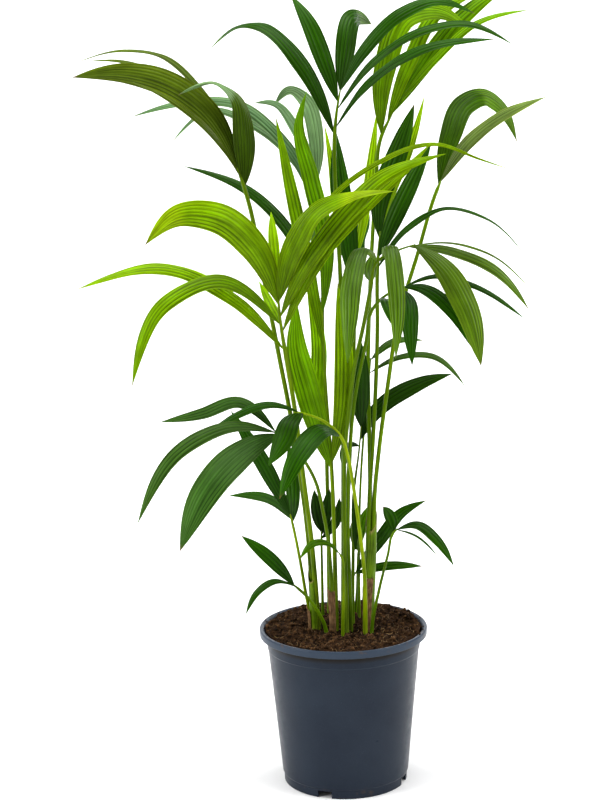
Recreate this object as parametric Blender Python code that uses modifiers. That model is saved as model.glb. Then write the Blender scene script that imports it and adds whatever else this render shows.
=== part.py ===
"""Potted palm: a plastic nursery pot of soil with a clump of young feather palms growing in it.

Metres, +Z up, -Y is the front. The origin is the middle of the pot's underside.
Every frond grew as one piece, so it is one solid: a stalk, the rachis at the top of the stalk,
and the leaflets that the rachis carries. Sheaths are sleeves of leaf base round the stalks.
"""
from math import ceil, cos, pi, radians, sin
from typing import NamedTuple

import bmesh
import bpy
from mathutils import Vector

CM = 0.01
MM = 0.001
GAP = 0.4 * MM                # clearance between pieces that touch

# Pot
POT_HEIGHT = 0.201
RIM_RADIUS = 0.106
RIM_BAND = 0.0095             # height of the band that hangs from the rim
NECK_RADIUS = 0.0975          # outside of the body just under the rim
FOOT_RADIUS = 0.0783          # outside of the skirt that the pot stands on
SKIRT_HEIGHT = 0.011
WALL = 0.0018
BAND_WALL = 0.0022            # thickness of the band, which hangs clear of the wall
NECK_DROP = 0.0125            # from the top down to where the wall flares out into the rim
STEP_DROP = 0.026             # from the top down to a faint step in the wall
STEP_DEPTH = 0.001
FLOOR_LEVEL = 0.0105          # underside of the floor between the skirt and the middle pad
PAD_RADIUS = 0.030            # flat pad in the middle that reaches the ground
POT_SIDES = 40
NOTCH_COUNT = 4
NOTCH_WIDTH = 0.018
NOTCH_HEIGHT = 0.009
NOTCH_TURN = radians(-21)     # first notch, measured from the front
DRAIN_COUNT = 8
DRAIN_RADIUS = 0.0055
DRAIN_CIRCLE = 0.056

# Soil
SOIL_TOP = 0.195
SOIL_DROP = 0.003             # how much lower the soil lies along the wall
SOIL_INSET = 0.0042           # from the outside of the pot's foot in to the soil
SOIL_SLACK = 0.028            # how much less height the soil widens over than the pot does
ROOT_DEPTH = 0.020            # how deep a stalk stands in its pocket

# Leaves
BLADE_THICKNESS = 1.2 * MM
BLADE_FOLD = 0.10             # height of the midline above the edges, as a part of the width
BLADE_POWER = 2.2             # how full a blade is towards its ends
BLADE_LEAN = 0.95             # under 1 sets the widest place nearer to the stalk
JOINT_TAPER = 0.16            # loss of diameter between the foot and the first leaflet
BLADE_TIP = 1.6 * MM          # width left at both ends of a blade
BLADE_INSET = 2.5 * MM        # how far short of the end of the rachis the last blade starts
BLADE_STEP = 0.045            # longest segment along a blade
WIDE_BLADE = 24               # millimetres: a blade at least this wide has a folded midline
STALK_STEP = 0.080            # longest segment along a stalk
SHEATH_WALL = 0.8 * MM
SHEATH_COLUMNS = 10           # facets round a sheath

COLOURS = {
    "pot": ((0.045, 0.065, 0.095), 0.42),
    "soil": ((0.045, 0.030, 0.020), 0.95),
    "bright": ((0.26, 0.46, 0.03), 0.40),
    "mid": ((0.15, 0.34, 0.03), 0.38),
    "olive": ((0.11, 0.22, 0.03), 0.36),
    "deep": ((0.045, 0.16, 0.03), 0.34),
    "grey": ((0.08, 0.22, 0.10), 0.34),
    "sheath": ((0.16, 0.28, 0.05), 0.45),
    "husk": ((0.22, 0.13, 0.06), 0.80),
}


class Leaflet(NamedTuple):
    """One blade: where on the rachis it starts (0 to 1), its midline, width and attitude.

    The midline is in centimetres and the width in millimetres. face turns the upper side from
    straight up (0) to the front (90), or to the back if negative; twist is added towards the tip.
    """
    start: float
    midline: list
    width: float
    face: float
    twist: float = 0


class Frond(NamedTuple):
    """A frond in centimetres; its two stalk diameters, at the foot and the tip, in millimetres."""
    name: str
    tone: str
    diameters: tuple
    foot: tuple
    stalk: list
    rachis: list
    leaflets: list


class Sheath(NamedTuple):
    """A sleeve round a bundle of stalks: its axis and radii in centimetres, its arc in degrees."""
    name: str
    tone: str
    axis: list
    radii: tuple
    arc: tuple
    tear: float               # depth of the torn top edge, in centimetres


FRONDS = [
    Frond(
        "frond_bright_left", "bright", (6.2, 1.9), (-3.25, 0.95),
        stalk=[(-3.65, 0.9, 29), (-4.7, -0.6, 40), (-5.6, -1.8, 49)],
        rachis=[(-6.5, -3, 55.5), (-7.1, -4, 60.5), (-7.3, -4.2, 65)],
        leaflets=[
            Leaflet(0.66, [(-10, -6, 69.1), (-14, -8, 72.8), (-18.5, -9.5, 73.4),
                           (-22.4, -12, 70.3)], 37, 62, 40),
            Leaflet(0.42, [(-8.6, 0.2, 62), (-9.6, 1.2, 64)], 12, 60),
            Leaflet(0.4, [(-14.2, -6.5, 65.1), (-20.8, -9, 62.6), (-24.6, -11, 53.5)], 21, 50),
            Leaflet(0.05, [(-12.4, -4, 62.3), (-20.4, -6, 66.6), (-31, -8, 64.7)], 21, 50, -20),
            Leaflet(0.7, [(-5, -8, 69.5), (-1.9, -11, 73.9), (1.6, -12.2, 75.4), (6.5, -13, 76)],
                    33, 65, 50),
            Leaflet(0.5, [(-2.8, -8, 68.6), (1.4, -9.5, 73.8), (5, -10.5, 77.2),
                           (12.5, -11, 80)], 24, 55),
            Leaflet(0.3, [(-1, -7.2, 69.4), (3.6, -8, 74.2), (9.1, -8.4, 79.1),
                          (11, -8.4, 81.1)], 20, 55),
            Leaflet(0.7, [(-2, -6.4, 73.4), (3.8, -7, 78.2), (11.9, -7.2, 80.8),
                          (16.5, -7.2, 79.1), (20.7, -7.2, 77.6)], 7, 50),
            Leaflet(0.97, [(-7.7, -2.6, 70), (-7.9, -1, 72.7)], 13, 70),
        ],
    ),
    Frond(
        "frond_bright_centre", "bright", (5.6, 1.8), (-0.9, 0.1),
        stalk=[(-0.9, 0.1, 27)],
        rachis=[(-1.1, -0.3, 40), (-1.6, 0.6, 50), (-2, 1.2, 61.8)],
        leaflets=[
            Leaflet(0.02, [(-3.8, -0.9, 50.2), (-5.2, -0.7, 56.6), (-5, -0.5, 61.7)], 32, 75),
            Leaflet(0.1, [(-2.6, 1.8, 49.6), (-2.4, 2.4, 55.6), (-3.8, 2.8, 64)], 20, 75),
            Leaflet(0.05, [(0.2, -1.2, 47.5), (0.6, -1.6, 54.3), (0, -1.2, 64)], 24, 75),
            Leaflet(0.7, [(-3.6, 1.2, 65.8), (-5.2, 0.8, 74), (-7.1, -0.6, 84.2)], 18, 70),
            Leaflet(0.9, [(-1.3, 0.6, 68), (-3, 0.2, 76.5), (-4.3, -0.4, 83.2),
                          (-3.3, -1.6, 87)], 22, 75),
        ],
    ),
    Frond(
        "frond_top_centre", "deep", (5.6, 1.8), (0.1, 1.5),
        stalk=[(0.3, 2, 34.5), (0.5, 2.4, 49.5), (0.4, 2.5, 64.7), (0, 2.2, 74.8)],
        rachis=[(0, 2, 81.5), (0.3, 2, 84.4), (0.8, 2.2, 87)],
        leaflets=[
            Leaflet(0, [(-3.9, 2.6, 90), (-8.4, 5, 94.5), (-11.7, 8, 94.5), (-15.5, 11, 91.6)],
                    24, 70, -65),
            Leaflet(0.72, [(-1.1, 2.8, 90.4), (-2.9, 4, 95), (-5, 6, 98.4)], 22, 75),
            Leaflet(0.95, [(1.3, 3.2, 90.6), (2.3, 5.5, 95.2), (5, 10.5, 94.6)], 26, 65, -30),
            Leaflet(1, [(3.5, 1, 91.3), (8, 0, 95.7), (12, 0, 97.2), (17, 1, 95.7)], 20, 45),
            Leaflet(0.55, [(5.4, -1, 90.8), (10.5, -3, 93.8), (15.7, -4, 94.5), (21, -5, 92)],
                    15, 40),
            Leaflet(0.15, [(5.2, -3, 88.8), (10.2, -5.5, 91.7), (18.8, -7, 92.8)], 18, 40),
        ],
    ),
    Frond(
        "frond_top_right", "mid", (5.4, 1.8), (2.95, 1.3),
        stalk=[(3.55, 1.35, 29), (3.7, 1.7, 37.5), (3.7, 2.3, 45), (3.7, 3.3, 52), (4.1, 4.8, 61.3),
               (5.1, 6.4, 74.4)],
        rachis=[(5.9, 7, 81), (6.8, 7.6, 82.8), (7.8, 8.4, 84.6)],
        leaflets=[
            Leaflet(0, [(6.3, 6.4, 88.8), (9.2, 7, 95.4), (13.1, 8.5, 96), (17.3, 10, 93.5)],
                    29, 75),
            Leaflet(0.4, [(9.5, 9, 89.7), (12.7, 10, 95.3), (19, 12, 98.4)], 19, 60),
            Leaflet(0.7, [(11.1, 10, 89), (15.9, 11, 94.8), (23.3, 12, 99.9)], 24, 60),
            Leaflet(1, [(12.6, 7.8, 90), (17.7, 7.4, 94.4), (24.3, 7, 96)], 11, 45),
        ],
    ),
    Frond(
        "frond_right", "mid", (5.4, 1.8), (3.45, 0.95),
        stalk=[(4, 0.85, 29), (4.25, 1, 37), (4.9, 1.3, 42.7), (6.1, 1.9, 50.6),
               (7.5, 2.8, 58.6), (10, 3.6, 66.5)],
        rachis=[(12.6, 4.5, 74.5), (13.1, 4.7, 75.6)],
        leaflets=[
            Leaflet(0.3, [(14.4, 6.5, 80.8), (16.3, 9, 84.4), (18.9, 11, 85.3),
                          (21.3, 12.5, 83.8), (23.5, 14, 79.4)], 31, 75, 40),
            Leaflet(1, [(16.8, 3, 80.7), (20.2, 2, 83.3), (25.5, 0.5, 85.7)], 20, 42),
        ],
    ),
    Frond(
        "frond_upper_left", "olive", (6.0, 1.9), (-3.75, 1.5),
        stalk=[(-4.05, 1.65, 29), (-6.2, 2.9, 47.4), (-7.4, 3.4, 54.4), (-9.3, 3.9, 65.5),
               (-10.5, 4.1, 72.6)],
        rachis=[(-11.1, 4, 75), (-12.5, 4.4, 79.2)],
        leaflets=[
            Leaflet(0.05, [(-11.1, 3.8, 81.4), (-12.2, 2.4, 86.2), (-14.4, 1.4, 87.9),
                           (-18.8, 1, 86.8)], 34, 75, -100),
            Leaflet(0.5, [(-15.2, 4, 84.2), (-20.6, 4.4, 88.2), (-25.3, 5, 89.4),
                          (-32, 5.8, 89)], 33, 60, 50),
            Leaflet(0.3, [(-15.6, 0.8, 82.8), (-19.8, 0.2, 86.3), (-24.3, -0.4, 88.6)], 12, 30),
            Leaflet(1, [(-15.8, 6.4, 86.3), (-21, 8, 91.2), (-25.8, 9, 92), (-32, 10, 90.6)],
                    14, 15),
            Leaflet(0.8, [(-19.5, 8, 87.9), (-26, 11, 90.6), (-31.4, 13, 90.7)], 11, 25),
        ],
    ),
    Frond(
        "frond_back_left", "grey", (5.2, 1.8), (-1.6, 6.6),
        stalk=[(-1.6, 7.4, 38.2), (-1.7, 8, 48.4)],
        rachis=[(-1.8, 8.6, 56.6), (-1.7, 9, 69), (-2.5, 9.8, 76.2)],
        leaflets=[
            Leaflet(1, [(-4.6, 11.4, 81.6), (-7.1, 13, 84.8), (-10, 15, 85)], 15, -55),
            Leaflet(0.7, [(-6.1, 11, 80), (-12.4, 13, 85), (-18.8, 14, 85.2), (-25.8, 15, 83.5)],
                    16, 50),
            Leaflet(0.93, [(-2.1, 10.5, 79.8), (-3.5, 12, 85.4), (-5.5, 14, 86.5),
                           (-7.4, 15.5, 84.6)], 21, -70),
            Leaflet(0.05, [(-5.4, 8, 68.6), (-10.2, 8, 74), (-19, 8, 77.8)], 16, 50),
            Leaflet(0.85, [(-8.8, 15, 81.3), (-15.7, 17, 84), (-20.8, 18.5, 80)], 13, 40),
        ],
    ),
    Frond(
        "frond_right_tall", "deep", (5.4, 1.8), (2.95, 0.6),
        stalk=[(3.3, 0.75, 29), (3.6, 0.85, 37), (4.2, 1.4, 44.6), (4.9, 2.2, 57.6)],
        rachis=[(5, 2.2, 65), (5.4, 2.5, 69.7)],
        leaflets=[
            Leaflet(0.3, [(6.5, 1.2, 70), (8.8, 0.6, 75), (11.6, -0.4, 80.6)], 22, 75),
            Leaflet(0.02, [(8.5, -0.2, 70.1), (12.9, -1.4, 72.6), (18.3, -2.4, 71.2),
                           (22.6, -3.2, 67)], 17, 40, 60),
            Leaflet(0.8, [(5.5, 3.6, 73.6), (7.4, 4.2, 78.2), (9.9, 4.8, 85)], 27, 75),
            Leaflet(1, [(7.2, 5.2, 74.5), (9.3, 5.8, 79.4), (11.3, 6.6, 86)], 11, 60),
        ],
    ),
    Frond(
        "frond_centre_back", "deep", (5.0, 1.8), (0.7, 5.8),
        stalk=[(1, 6, 33.5), (1.8, 6.2, 48.8)],
        rachis=[(2.2, 6.4, 59), (2.1, 6.6, 66.2)],
        leaflets=[
            Leaflet(0.4, [(1.5, 6, 68.8), (0.6, 5.6, 75.5), (0.2, 5.2, 82)], 27, 75),
            Leaflet(0.8, [(3.5, 8.4, 70), (4.5, 9, 76.3), (5.5, 9.6, 84)], 13, 70),
            Leaflet(1, [(0.2, 8.2, 72.2), (-0.3, 8.8, 77.3), (-1.1, 9.4, 82.5)], 10, 70),
            Leaflet(0.1, [(3, 11, 66), (3.4, 17, 70.5), (2.4, 23, 67)], 26, -40),
            Leaflet(0.55, [(0, 10.5, 68), (-1.4, 15, 70), (-3, 20, 66)], 22, -30),
        ],
    ),
    Frond(
        "frond_right_arching", "grey", (5.4, 1.8), (0.4, -0.5),
        stalk=[(0.4, -0.8, 35.2), (0.5, -1.2, 42.3), (1.2, -1.9, 49), (2, -2.7, 54.5),
               (3, -3.4, 59)],
        rachis=[(3.9, -4.2, 63.6), (4.6, -4.8, 66.8), (7.1, -5, 68.2), (9.3, -4.6, 68.8)],
        leaflets=[
            Leaflet(0.4, [(2.9, -8, 68.7), (1.4, -12, 65.2), (1, -14, 60.8), (0.7, -15, 56.5)],
                    25, 0),
            Leaflet(0.5, [(6.1, -9, 69), (6.5, -12, 65.2), (6.6, -13.5, 61), (6.3, -14.5, 56.8)],
                    21, 0),
            Leaflet(0.1, [(3.9, -3.2, 65.2), (4.5, -2.2, 67.7)], 16, 70),
            Leaflet(1, [(12, -6, 66.6), (15, -8, 61.7), (16.7, -9, 54.7)], 31, 55),
            Leaflet(0.93, [(13.7, -3.6, 68.7), (18.7, -3.2, 67), (23, -3, 63.2)], 9, 10),
            Leaflet(0.88, [(14.4, -1.6, 67.3), (19.4, -0.8, 64.8), (23.4, 0, 60)], 15, 50),
        ],
    ),
    Frond(
        "frond_right_drooping", "deep", (5.0, 1.7), (0.95, 0.5),
        stalk=[(1, 0.3, 40), (2, -0.2, 50), (3.4, -0.9, 56.7)],
        rachis=[(4.1, -1.4, 60.5), (5.9, -2.2, 62.5), (8.2, -2.6, 63.5)],
        leaflets=[
            Leaflet(0.95, [(10, -4.4, 63.5), (13.5, -6.4, 61), (16, -7.4, 56.3)], 19, 50),
            Leaflet(0.85, [(8.4, -5.8, 62), (8.4, -8.2, 58.7), (8.5, -9.2, 55)], 20, 10),
            Leaflet(1, [(11.5, -1.2, 64.4), (16.5, 0.6, 63), (23.2, 1.6, 58.5)], 11, 35),
            Leaflet(0.4, [(5.8, -5, 61.6), (6.6, -6.6, 59)], 14, 10),
        ],
    ),
    Frond(
        "frond_right_slender", "grey", (3.2, 1.6), (2.2, 4.7),
        stalk=[(2.7, 4.6, 39)],
        rachis=[(3.8, 4.3, 50.8), (4.1, 4.1, 53.6)],
        leaflets=[
            Leaflet(1, [(6.9, 5, 55.4), (10.8, 6, 55.4)], 11, 40),
            Leaflet(0.3, [(7.8, 4.8, 53.5), (12, 5.2, 53.4), (16, 5.6, 49.5)], 10, 40),
        ],
    ),
    Frond(
        "frond_low_right", "deep", (4.2, 1.6), (1.3, 3.3),
        stalk=[(1.5, 3.4, 29)],
        rachis=[(1.6, 3.1, 35.7), (2.5, 2.5, 43), (2.7, 2.2, 45.4)],
        leaflets=[
            Leaflet(0.1, [(1.8, 2.2, 35), (1.7, 1.5, 29.5)], 10, 20),
            Leaflet(0.8, [(4.4, 3.8, 46.5), (10.3, 4.4, 50.2), (14.3, 4.6, 51.3)], 22, 60),
            Leaflet(1, [(2.6, 1.2, 50.3), (2.8, 0.9, 56.4)], 24, 75),
            Leaflet(0.72, [(1.2, 3.6, 42.6), (0.5, 3.9, 39.5)], 14, 30),
        ],
    ),
    Frond(
        "frond_low_left", "deep", (4.6, 1.8), (-1.3, -0.5),
        stalk=[(-1.45, -0.6, 27), (-1.7, -1.1, 31.3), (-2.3, -2, 35.5), (-3.2, -3, 39.7),
               (-4.4, -4.2, 42.4), (-6, -5.6, 45)],
        rachis=[(-7.3, -6.6, 46.4), (-8, -7, 46.8)],
        leaflets=[
            Leaflet(0.2, [(-11.4, -10, 45.3), (-16, -14, 41.5), (-19.3, -16, 34.7)], 38, 60),
            Leaflet(0.6, [(-12.7, -9, 48), (-19.5, -12, 45.5), (-24.3, -14, 37.6)], 19, 50),
            Leaflet(1, [(-12.3, -5.4, 50.2), (-16.8, -4.4, 48.7), (-22, -3.6, 47.6)], 16, 35, 50),
        ],
    ),
    Frond(
        "frond_low_centre", "deep", (4.8, 1.8), (2.75, -1.0),
        stalk=[(2.7, -2, 27.6), (2.1, -3, 33.8), (1.4, -4, 39.5), (0.8, -5, 43.2)],
        rachis=[(0.1, -5.8, 45.6), (-2.1, -6.8, 48), (-5.2, -7.4, 49.3)],
        leaflets=[
            Leaflet(0.05, [(-2.6, -9.5, 47.3), (-5.2, -12.5, 45), (-7.5, -14.5, 40.4)], 27, 45),
            Leaflet(0.9, [(-6, -9.5, 48.6), (-7.1, -11, 46.3), (-8.8, -12, 43.8)], 28, 20),
            Leaflet(1, [(-8.4, -7.4, 50.2), (-12.3, -7.2, 49), (-16.6, -7.2, 46.2)], 14, 30),
        ],
    ),
    Frond(
        "frond_left_lower", "deep", (4.0, 1.6), (-4.05, 2.8),
        stalk=[(-4.7, 2.4, 24), (-5.1, 1.1, 27.2)],
        rachis=[(-6.1, 0.6, 33.2), (-6.4, 0.6, 34.6)],
        leaflets=[
            Leaflet(0.9, [(-9, 0.4, 40), (-13.5, 0.6, 48)], 20, 70),
            Leaflet(0.5, [(-9, 4, 35.7), (-14.2, 6, 35.8)], 14, 45),
            Leaflet(0.2, [(-6, 4.6, 36.2), (-6.4, 5.6, 42.6)], 18, 70),
        ],
    ),
    Frond(
        "frond_bottom_left", "deep", (4.0, 1.6), (-2.2, -1.5),
        stalk=[(-3.1, -2.4, 22.6), (-4.4, -3, 24.8)],
        rachis=[(-5.5, -3.4, 26), (-6.2, -3.6, 26.7)],
        leaflets=[
            Leaflet(0.8, [(-8.5, -3.4, 29.5), (-12.5, -2.6, 32.8)], 17, 60),
            Leaflet(0.3, [(-8.8, -6, 27.7), (-10.8, -7.5, 26.6), (-12, -8.5, 24.5)], 12, 20),
        ],
    ),
    Frond(
        "frond_small_centre", "mid", (3.4, 1.6), (-0.1, -1.9),
        stalk=[(0.1, -2.4, 26.7)],
        rachis=[(-0.1, -2.7, 29.8), (-0.4, -3, 30.4)],
        leaflets=[
            Leaflet(1, [(-2, -4, 32), (-3.6, -5, 32.2), (-5.3, -6, 30.6)], 13, 25),
        ],
    ),
    Frond(
        "frond_bottom_right", "deep", (3.6, 1.6), (3.6, -1.0),
        stalk=[(4.5, -1.6, 25), (5.7, -2.2, 30)],
        rachis=[(6.4, -2.5, 32.8), (6.9, -2.6, 33.3)],
        leaflets=[
            Leaflet(0.8, [(9.3, -4, 34), (11.6, -5.5, 32.4), (13.5, -6.5, 29.5)], 14, 40),
            Leaflet(0.1, [(6.1, -2, 34.5), (5.2, -0.8, 35.7)], 15, 70),
            Leaflet(1, [(9.2, -1.6, 32), (11.8, -1.2, 29.4)], 6, 20),
        ],
    ),
    Frond(
        "frond_back_right", "deep", (3.0, 1.6), (0.9, 4.6),
        stalk=[(1.3, 4.8, 22.5)],
        rachis=[(1.6, 4.6, 25.4), (1.9, 4.5, 25.8)],
        leaflets=[
            Leaflet(0.8, [(4.8, 3.8, 30), (7.8, 3.4, 33.8), (10.9, 3.4, 35.3)], 17, 70),
            Leaflet(0.4, [(5.5, 3.6, 26.7), (10.3, 3.6, 26.6)], 12, 60),
        ],
    ),
    Frond(
        "frond_small_back", "mid", (3.0, 1.6), (1.8, 6.4),
        stalk=[(2, 6.4, 23)],
        rachis=[(2.2, 6.2, 27.7), (2.3, 6.2, 28.7)],
        leaflets=[
            Leaflet(1, [(2.6, 6.2, 31), (3.6, 6.2, 34)], 14, 70),
            Leaflet(0.3, [(1.9, 7.4, 29.3), (1.4, 8.4, 31.2)], 12, 60),
        ],
    ),
    Frond(
        "frond_inner_left", "deep", (3.4, 1.6), (-2.5, 5.4),
        stalk=[(-2.5, 5.4, 24.4)],
        rachis=[(-2.5, 5.2, 29.8), (-2.5, 5.2, 31.2)],
        leaflets=[
            Leaflet(1, [(-3, 4.6, 33.6), (-3.3, 4.2, 36.8)], 15, 75),
            Leaflet(0.5, [(-1.8, 5.8, 33.3), (-1.4, 5.6, 36.6)], 15, 75),
            Leaflet(0.2, [(-0.7, 5.8, 32), (-0.1, 5.8, 35.3)], 13, 75),
        ],
    ),
]

SHEATHS = [
    Sheath("leaf_sheath_left", "sheath", [(-3.5, 1.22, 0), (-3.62, 1.25, 4), (-3.85, 1.3, 9)],
           (0.74, 0.80), (-160, 160), 2.2),
    Sheath("leaf_sheath_right", "sheath", [(3.12, 0.95, 0), (3.63, 1.0, 10), (3.8, 1.2, 16)],
           (0.72, 0.82), (-160, 160), 2.6),
    Sheath("leaf_sheath_back", "sheath", [(0.7, 5.8, 0), (0.75, 5.84, 3.4)],
           (0.44, 0.42), (-150, 150), 0.6),
    Sheath("old_sheath_left", "husk", [(-3.5, 1.22, 0), (-3.62, 1.25, 4)],
           (0.87, 0.89), (-120, 35), 1.0),
    Sheath("old_sheath_middle", "husk", [(-1.0, -0.15, 0), (-1.1, -0.2, 8)],
           (0.76, 0.82), (-110, 50), 1.8),
    Sheath("old_sheath_right", "husk", [(3.12, 0.95, 0), (3.6, 1.0, 9.5)],
           (0.88, 0.93), (-120, 60), 2.0),
]


# ---------------------------------------------------------------- helpers

def clear_scene():
    for obj in list(bpy.data.objects):
        bpy.data.objects.remove(obj, do_unlink=True)


def make_collection(name):
    collection = bpy.data.collections.new(name)
    bpy.context.scene.collection.children.link(collection)
    return collection


def make_material(name, tone):
    colour, roughness = COLOURS[tone]
    material = bpy.data.materials.new(name)
    material.use_nodes = True
    shader = material.node_tree.nodes["Principled BSDF"]
    shader.inputs["Base Color"].default_value = (*colour, 1.0)
    shader.inputs["Roughness"].default_value = roughness
    shader.inputs["Metallic"].default_value = 0.0
    return material


def add_object(name, data, collection, tone=None):
    obj = bpy.data.objects.new(name, data)
    collection.objects.link(obj)
    if tone:
        data.materials.append(make_material(name, tone))
    return obj


def mark_cutter(obj):
    obj.hide_render = True
    obj.display_type = "WIRE"


def smooth_path(knots, longest):
    """Points along a smooth curve through the knots, no further apart than longest."""
    knots = [Vector(knot) for knot in knots]
    spans = [(b - a).length for a, b in zip(knots, knots[1:])]
    rates = [(b - a) / span for a, b, span in zip(knots, knots[1:], spans)]
    slopes = [rates[0]]
    for i in range(1, len(rates)):
        share = spans[i] / (spans[i - 1] + spans[i])
        slopes.append(rates[i - 1] * share + rates[i] * (1 - share))
    slopes.append(rates[-1])
    if len(rates) > 1:
        slopes[0] = 1.5 * rates[0] - 0.5 * slopes[1]
        slopes[-1] = 1.5 * rates[-1] - 0.5 * slopes[-2]
    points = [knots[0]]
    for i, span in enumerate(spans):
        count = max(1, ceil(span / longest))
        for step in range(1, count + 1):
            t = step / count
            points.append(
                knots[i] * (1 + 2 * t) * (1 - t) ** 2
                + slopes[i] * span * t * (1 - t) ** 2
                + knots[i + 1] * t * t * (3 - 2 * t)
                + slopes[i + 1] * span * t * t * (t - 1)
            )
    return points


def distances(points):
    """Distance along the path at each point."""
    along = [0.0]
    for a, b in zip(points, points[1:]):
        along.append(along[-1] + (b - a).length)
    return along


def point_at(points, share):
    """The point that lies this share of the way along the path."""
    along = distances(points)
    target = share * along[-1]
    for i in range(len(points) - 1):
        if target <= along[i + 1]:
            part = (target - along[i]) / (along[i + 1] - along[i])
            return points[i].lerp(points[i + 1], part)
    return points[-1].copy()


def centimetres(points):
    return [Vector(point) * CM for point in points]


# ---------------------------------------------------------------- pot

def pot_profile():
    """Radius and height from the middle of the inside floor, over the rim, to the ground."""
    return [
        (0.0, WALL),
        (PAD_RADIUS - 0.002, WALL),
        (PAD_RADIUS + 0.004, FLOOR_LEVEL + WALL),
        (FOOT_RADIUS - 0.007, FLOOR_LEVEL + WALL),
        (FOOT_RADIUS - 0.002, FLOOR_LEVEL + 0.004),
        (NECK_RADIUS - WALL - 2 * STEP_DEPTH, POT_HEIGHT - STEP_DROP),
        (NECK_RADIUS - WALL, POT_HEIGHT - NECK_DROP),
        (NECK_RADIUS + 0.0008, POT_HEIGHT - 0.005),
        (NECK_RADIUS + 0.0035, POT_HEIGHT - 0.001),
        (RIM_RADIUS - 0.0012, POT_HEIGHT),
        (RIM_RADIUS, POT_HEIGHT - 0.0015),
        (RIM_RADIUS - 0.0004, POT_HEIGHT - RIM_BAND),
        (RIM_RADIUS - BAND_WALL, POT_HEIGHT - RIM_BAND),
        (RIM_RADIUS - BAND_WALL, POT_HEIGHT - 0.0032),
        (NECK_RADIUS + 0.004, POT_HEIGHT - 0.0042),
        (NECK_RADIUS + 0.0018, POT_HEIGHT - 0.0075),
        (NECK_RADIUS, POT_HEIGHT - NECK_DROP),
        (NECK_RADIUS - STEP_DEPTH, POT_HEIGHT - STEP_DROP + 0.0005),
        (NECK_RADIUS - 2 * STEP_DEPTH, POT_HEIGHT - STEP_DROP - 0.0005),
        (FOOT_RADIUS + 0.0018, SKIRT_HEIGHT + 0.0015),
        (FOOT_RADIUS + 0.0004, SKIRT_HEIGHT),
        (FOOT_RADIUS, 0.0),
        (FOOT_RADIUS - 0.0024, 0.0),
        (FOOT_RADIUS - 0.0032, FLOOR_LEVEL),
        (PAD_RADIUS + 0.006, FLOOR_LEVEL),
        (PAD_RADIUS, 0.0),
        (0.0, 0.0),
    ]


def turn_profile(name, profile, collection, tone=None):
    """A solid turned about Z from a profile of (radius, height)."""
    mesh = bpy.data.meshes.new(name)
    edges = [(i, i + 1) for i in range(len(profile) - 1)]
    mesh.from_pydata([(radius, 0.0, height) for radius, height in profile], edges, [])
    obj = add_object(name, mesh, collection, tone)
    screw = obj.modifiers.new("turn", "SCREW")
    screw.axis = "Z"
    screw.steps = POT_SIDES
    screw.render_steps = POT_SIDES
    screw.use_merge_vertices = True
    screw.merge_threshold = 0.00001
    screw.use_smooth_shade = True
    return obj


def add_cut(obj, cutters):
    cut = obj.modifiers.new("cut", "BOOLEAN")
    cut.operation = "DIFFERENCE"
    cut.operand_type = "COLLECTION"
    cut.collection = cutters
    cut.solver = "EXACT"


def make_pot(parts):
    pot = turn_profile("pot", pot_profile(), parts, "pot")
    cutters = make_collection("pot_cutters")
    for i in range(NOTCH_COUNT):
        turn = NOTCH_TURN + i * 2 * pi / NOTCH_COUNT
        bpy.ops.mesh.primitive_cube_add(
            size=1,
            location=(FOOT_RADIUS * sin(turn), -FOOT_RADIUS * cos(turn), NOTCH_HEIGHT / 2 - MM),
            rotation=(0, 0, turn),
            scale=(NOTCH_WIDTH, 0.014, NOTCH_HEIGHT + 2 * MM),
        )
        move_to(bpy.context.object, cutters, f"notch_{i + 1}")
    for i in range(DRAIN_COUNT):
        turn = NOTCH_TURN + (i + 0.5) * 2 * pi / DRAIN_COUNT
        bpy.ops.mesh.primitive_cylinder_add(
            vertices=12,
            radius=DRAIN_RADIUS,
            depth=0.02,
            location=(DRAIN_CIRCLE * sin(turn), -DRAIN_CIRCLE * cos(turn), FLOOR_LEVEL),
        )
        move_to(bpy.context.object, cutters, f"drain_{i + 1}")
    add_cut(pot, cutters)


def move_to(obj, collection, name):
    for old in list(obj.users_collection):
        old.objects.unlink(obj)
    collection.objects.link(obj)
    obj.name = name
    mark_cutter(obj)


# ---------------------------------------------------------------- soil

def soil_profile():
    """The root ball fills the pot from its floor up, a small gap off the plastic."""
    wall_slope = (NECK_RADIUS - FOOT_RADIUS) / (POT_HEIGHT - STEP_DROP - SKIRT_HEIGHT)
    bottom = FLOOR_LEVEL + WALL + GAP
    edge_top = SOIL_TOP - SOIL_DROP
    foot = FOOT_RADIUS - SOIL_INSET
    neck = foot + wall_slope * (SOIL_TOP - SOIL_SLACK - bottom)
    return [
        (0.0, SOIL_TOP),
        (0.070, SOIL_TOP),
        (neck - 0.006, edge_top + 0.001),
        (neck, edge_top - 0.002),
        (foot + 0.004, bottom + 0.040),
        (foot - 0.004, bottom),
        (0.0, bottom),
    ]


def make_soil(parts):
    soil = turn_profile("soil", soil_profile(), parts, "soil")
    pockets = make_collection("soil_pockets")
    for frond in FRONDS:
        x, y = frond.foot
        bpy.ops.mesh.primitive_cylinder_add(
            vertices=8,
            radius=frond.diameters[0] / 2 * MM + 2 * GAP,
            depth=2 * (ROOT_DEPTH + GAP),
            location=(x * CM, y * CM, SOIL_TOP),
            rotation=(0, 0, radians(11)),
        )
        move_to(bpy.context.object, pockets, frond.name + "_pocket")
    add_cut(soil, pockets)


# ---------------------------------------------------------------- fronds

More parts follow.
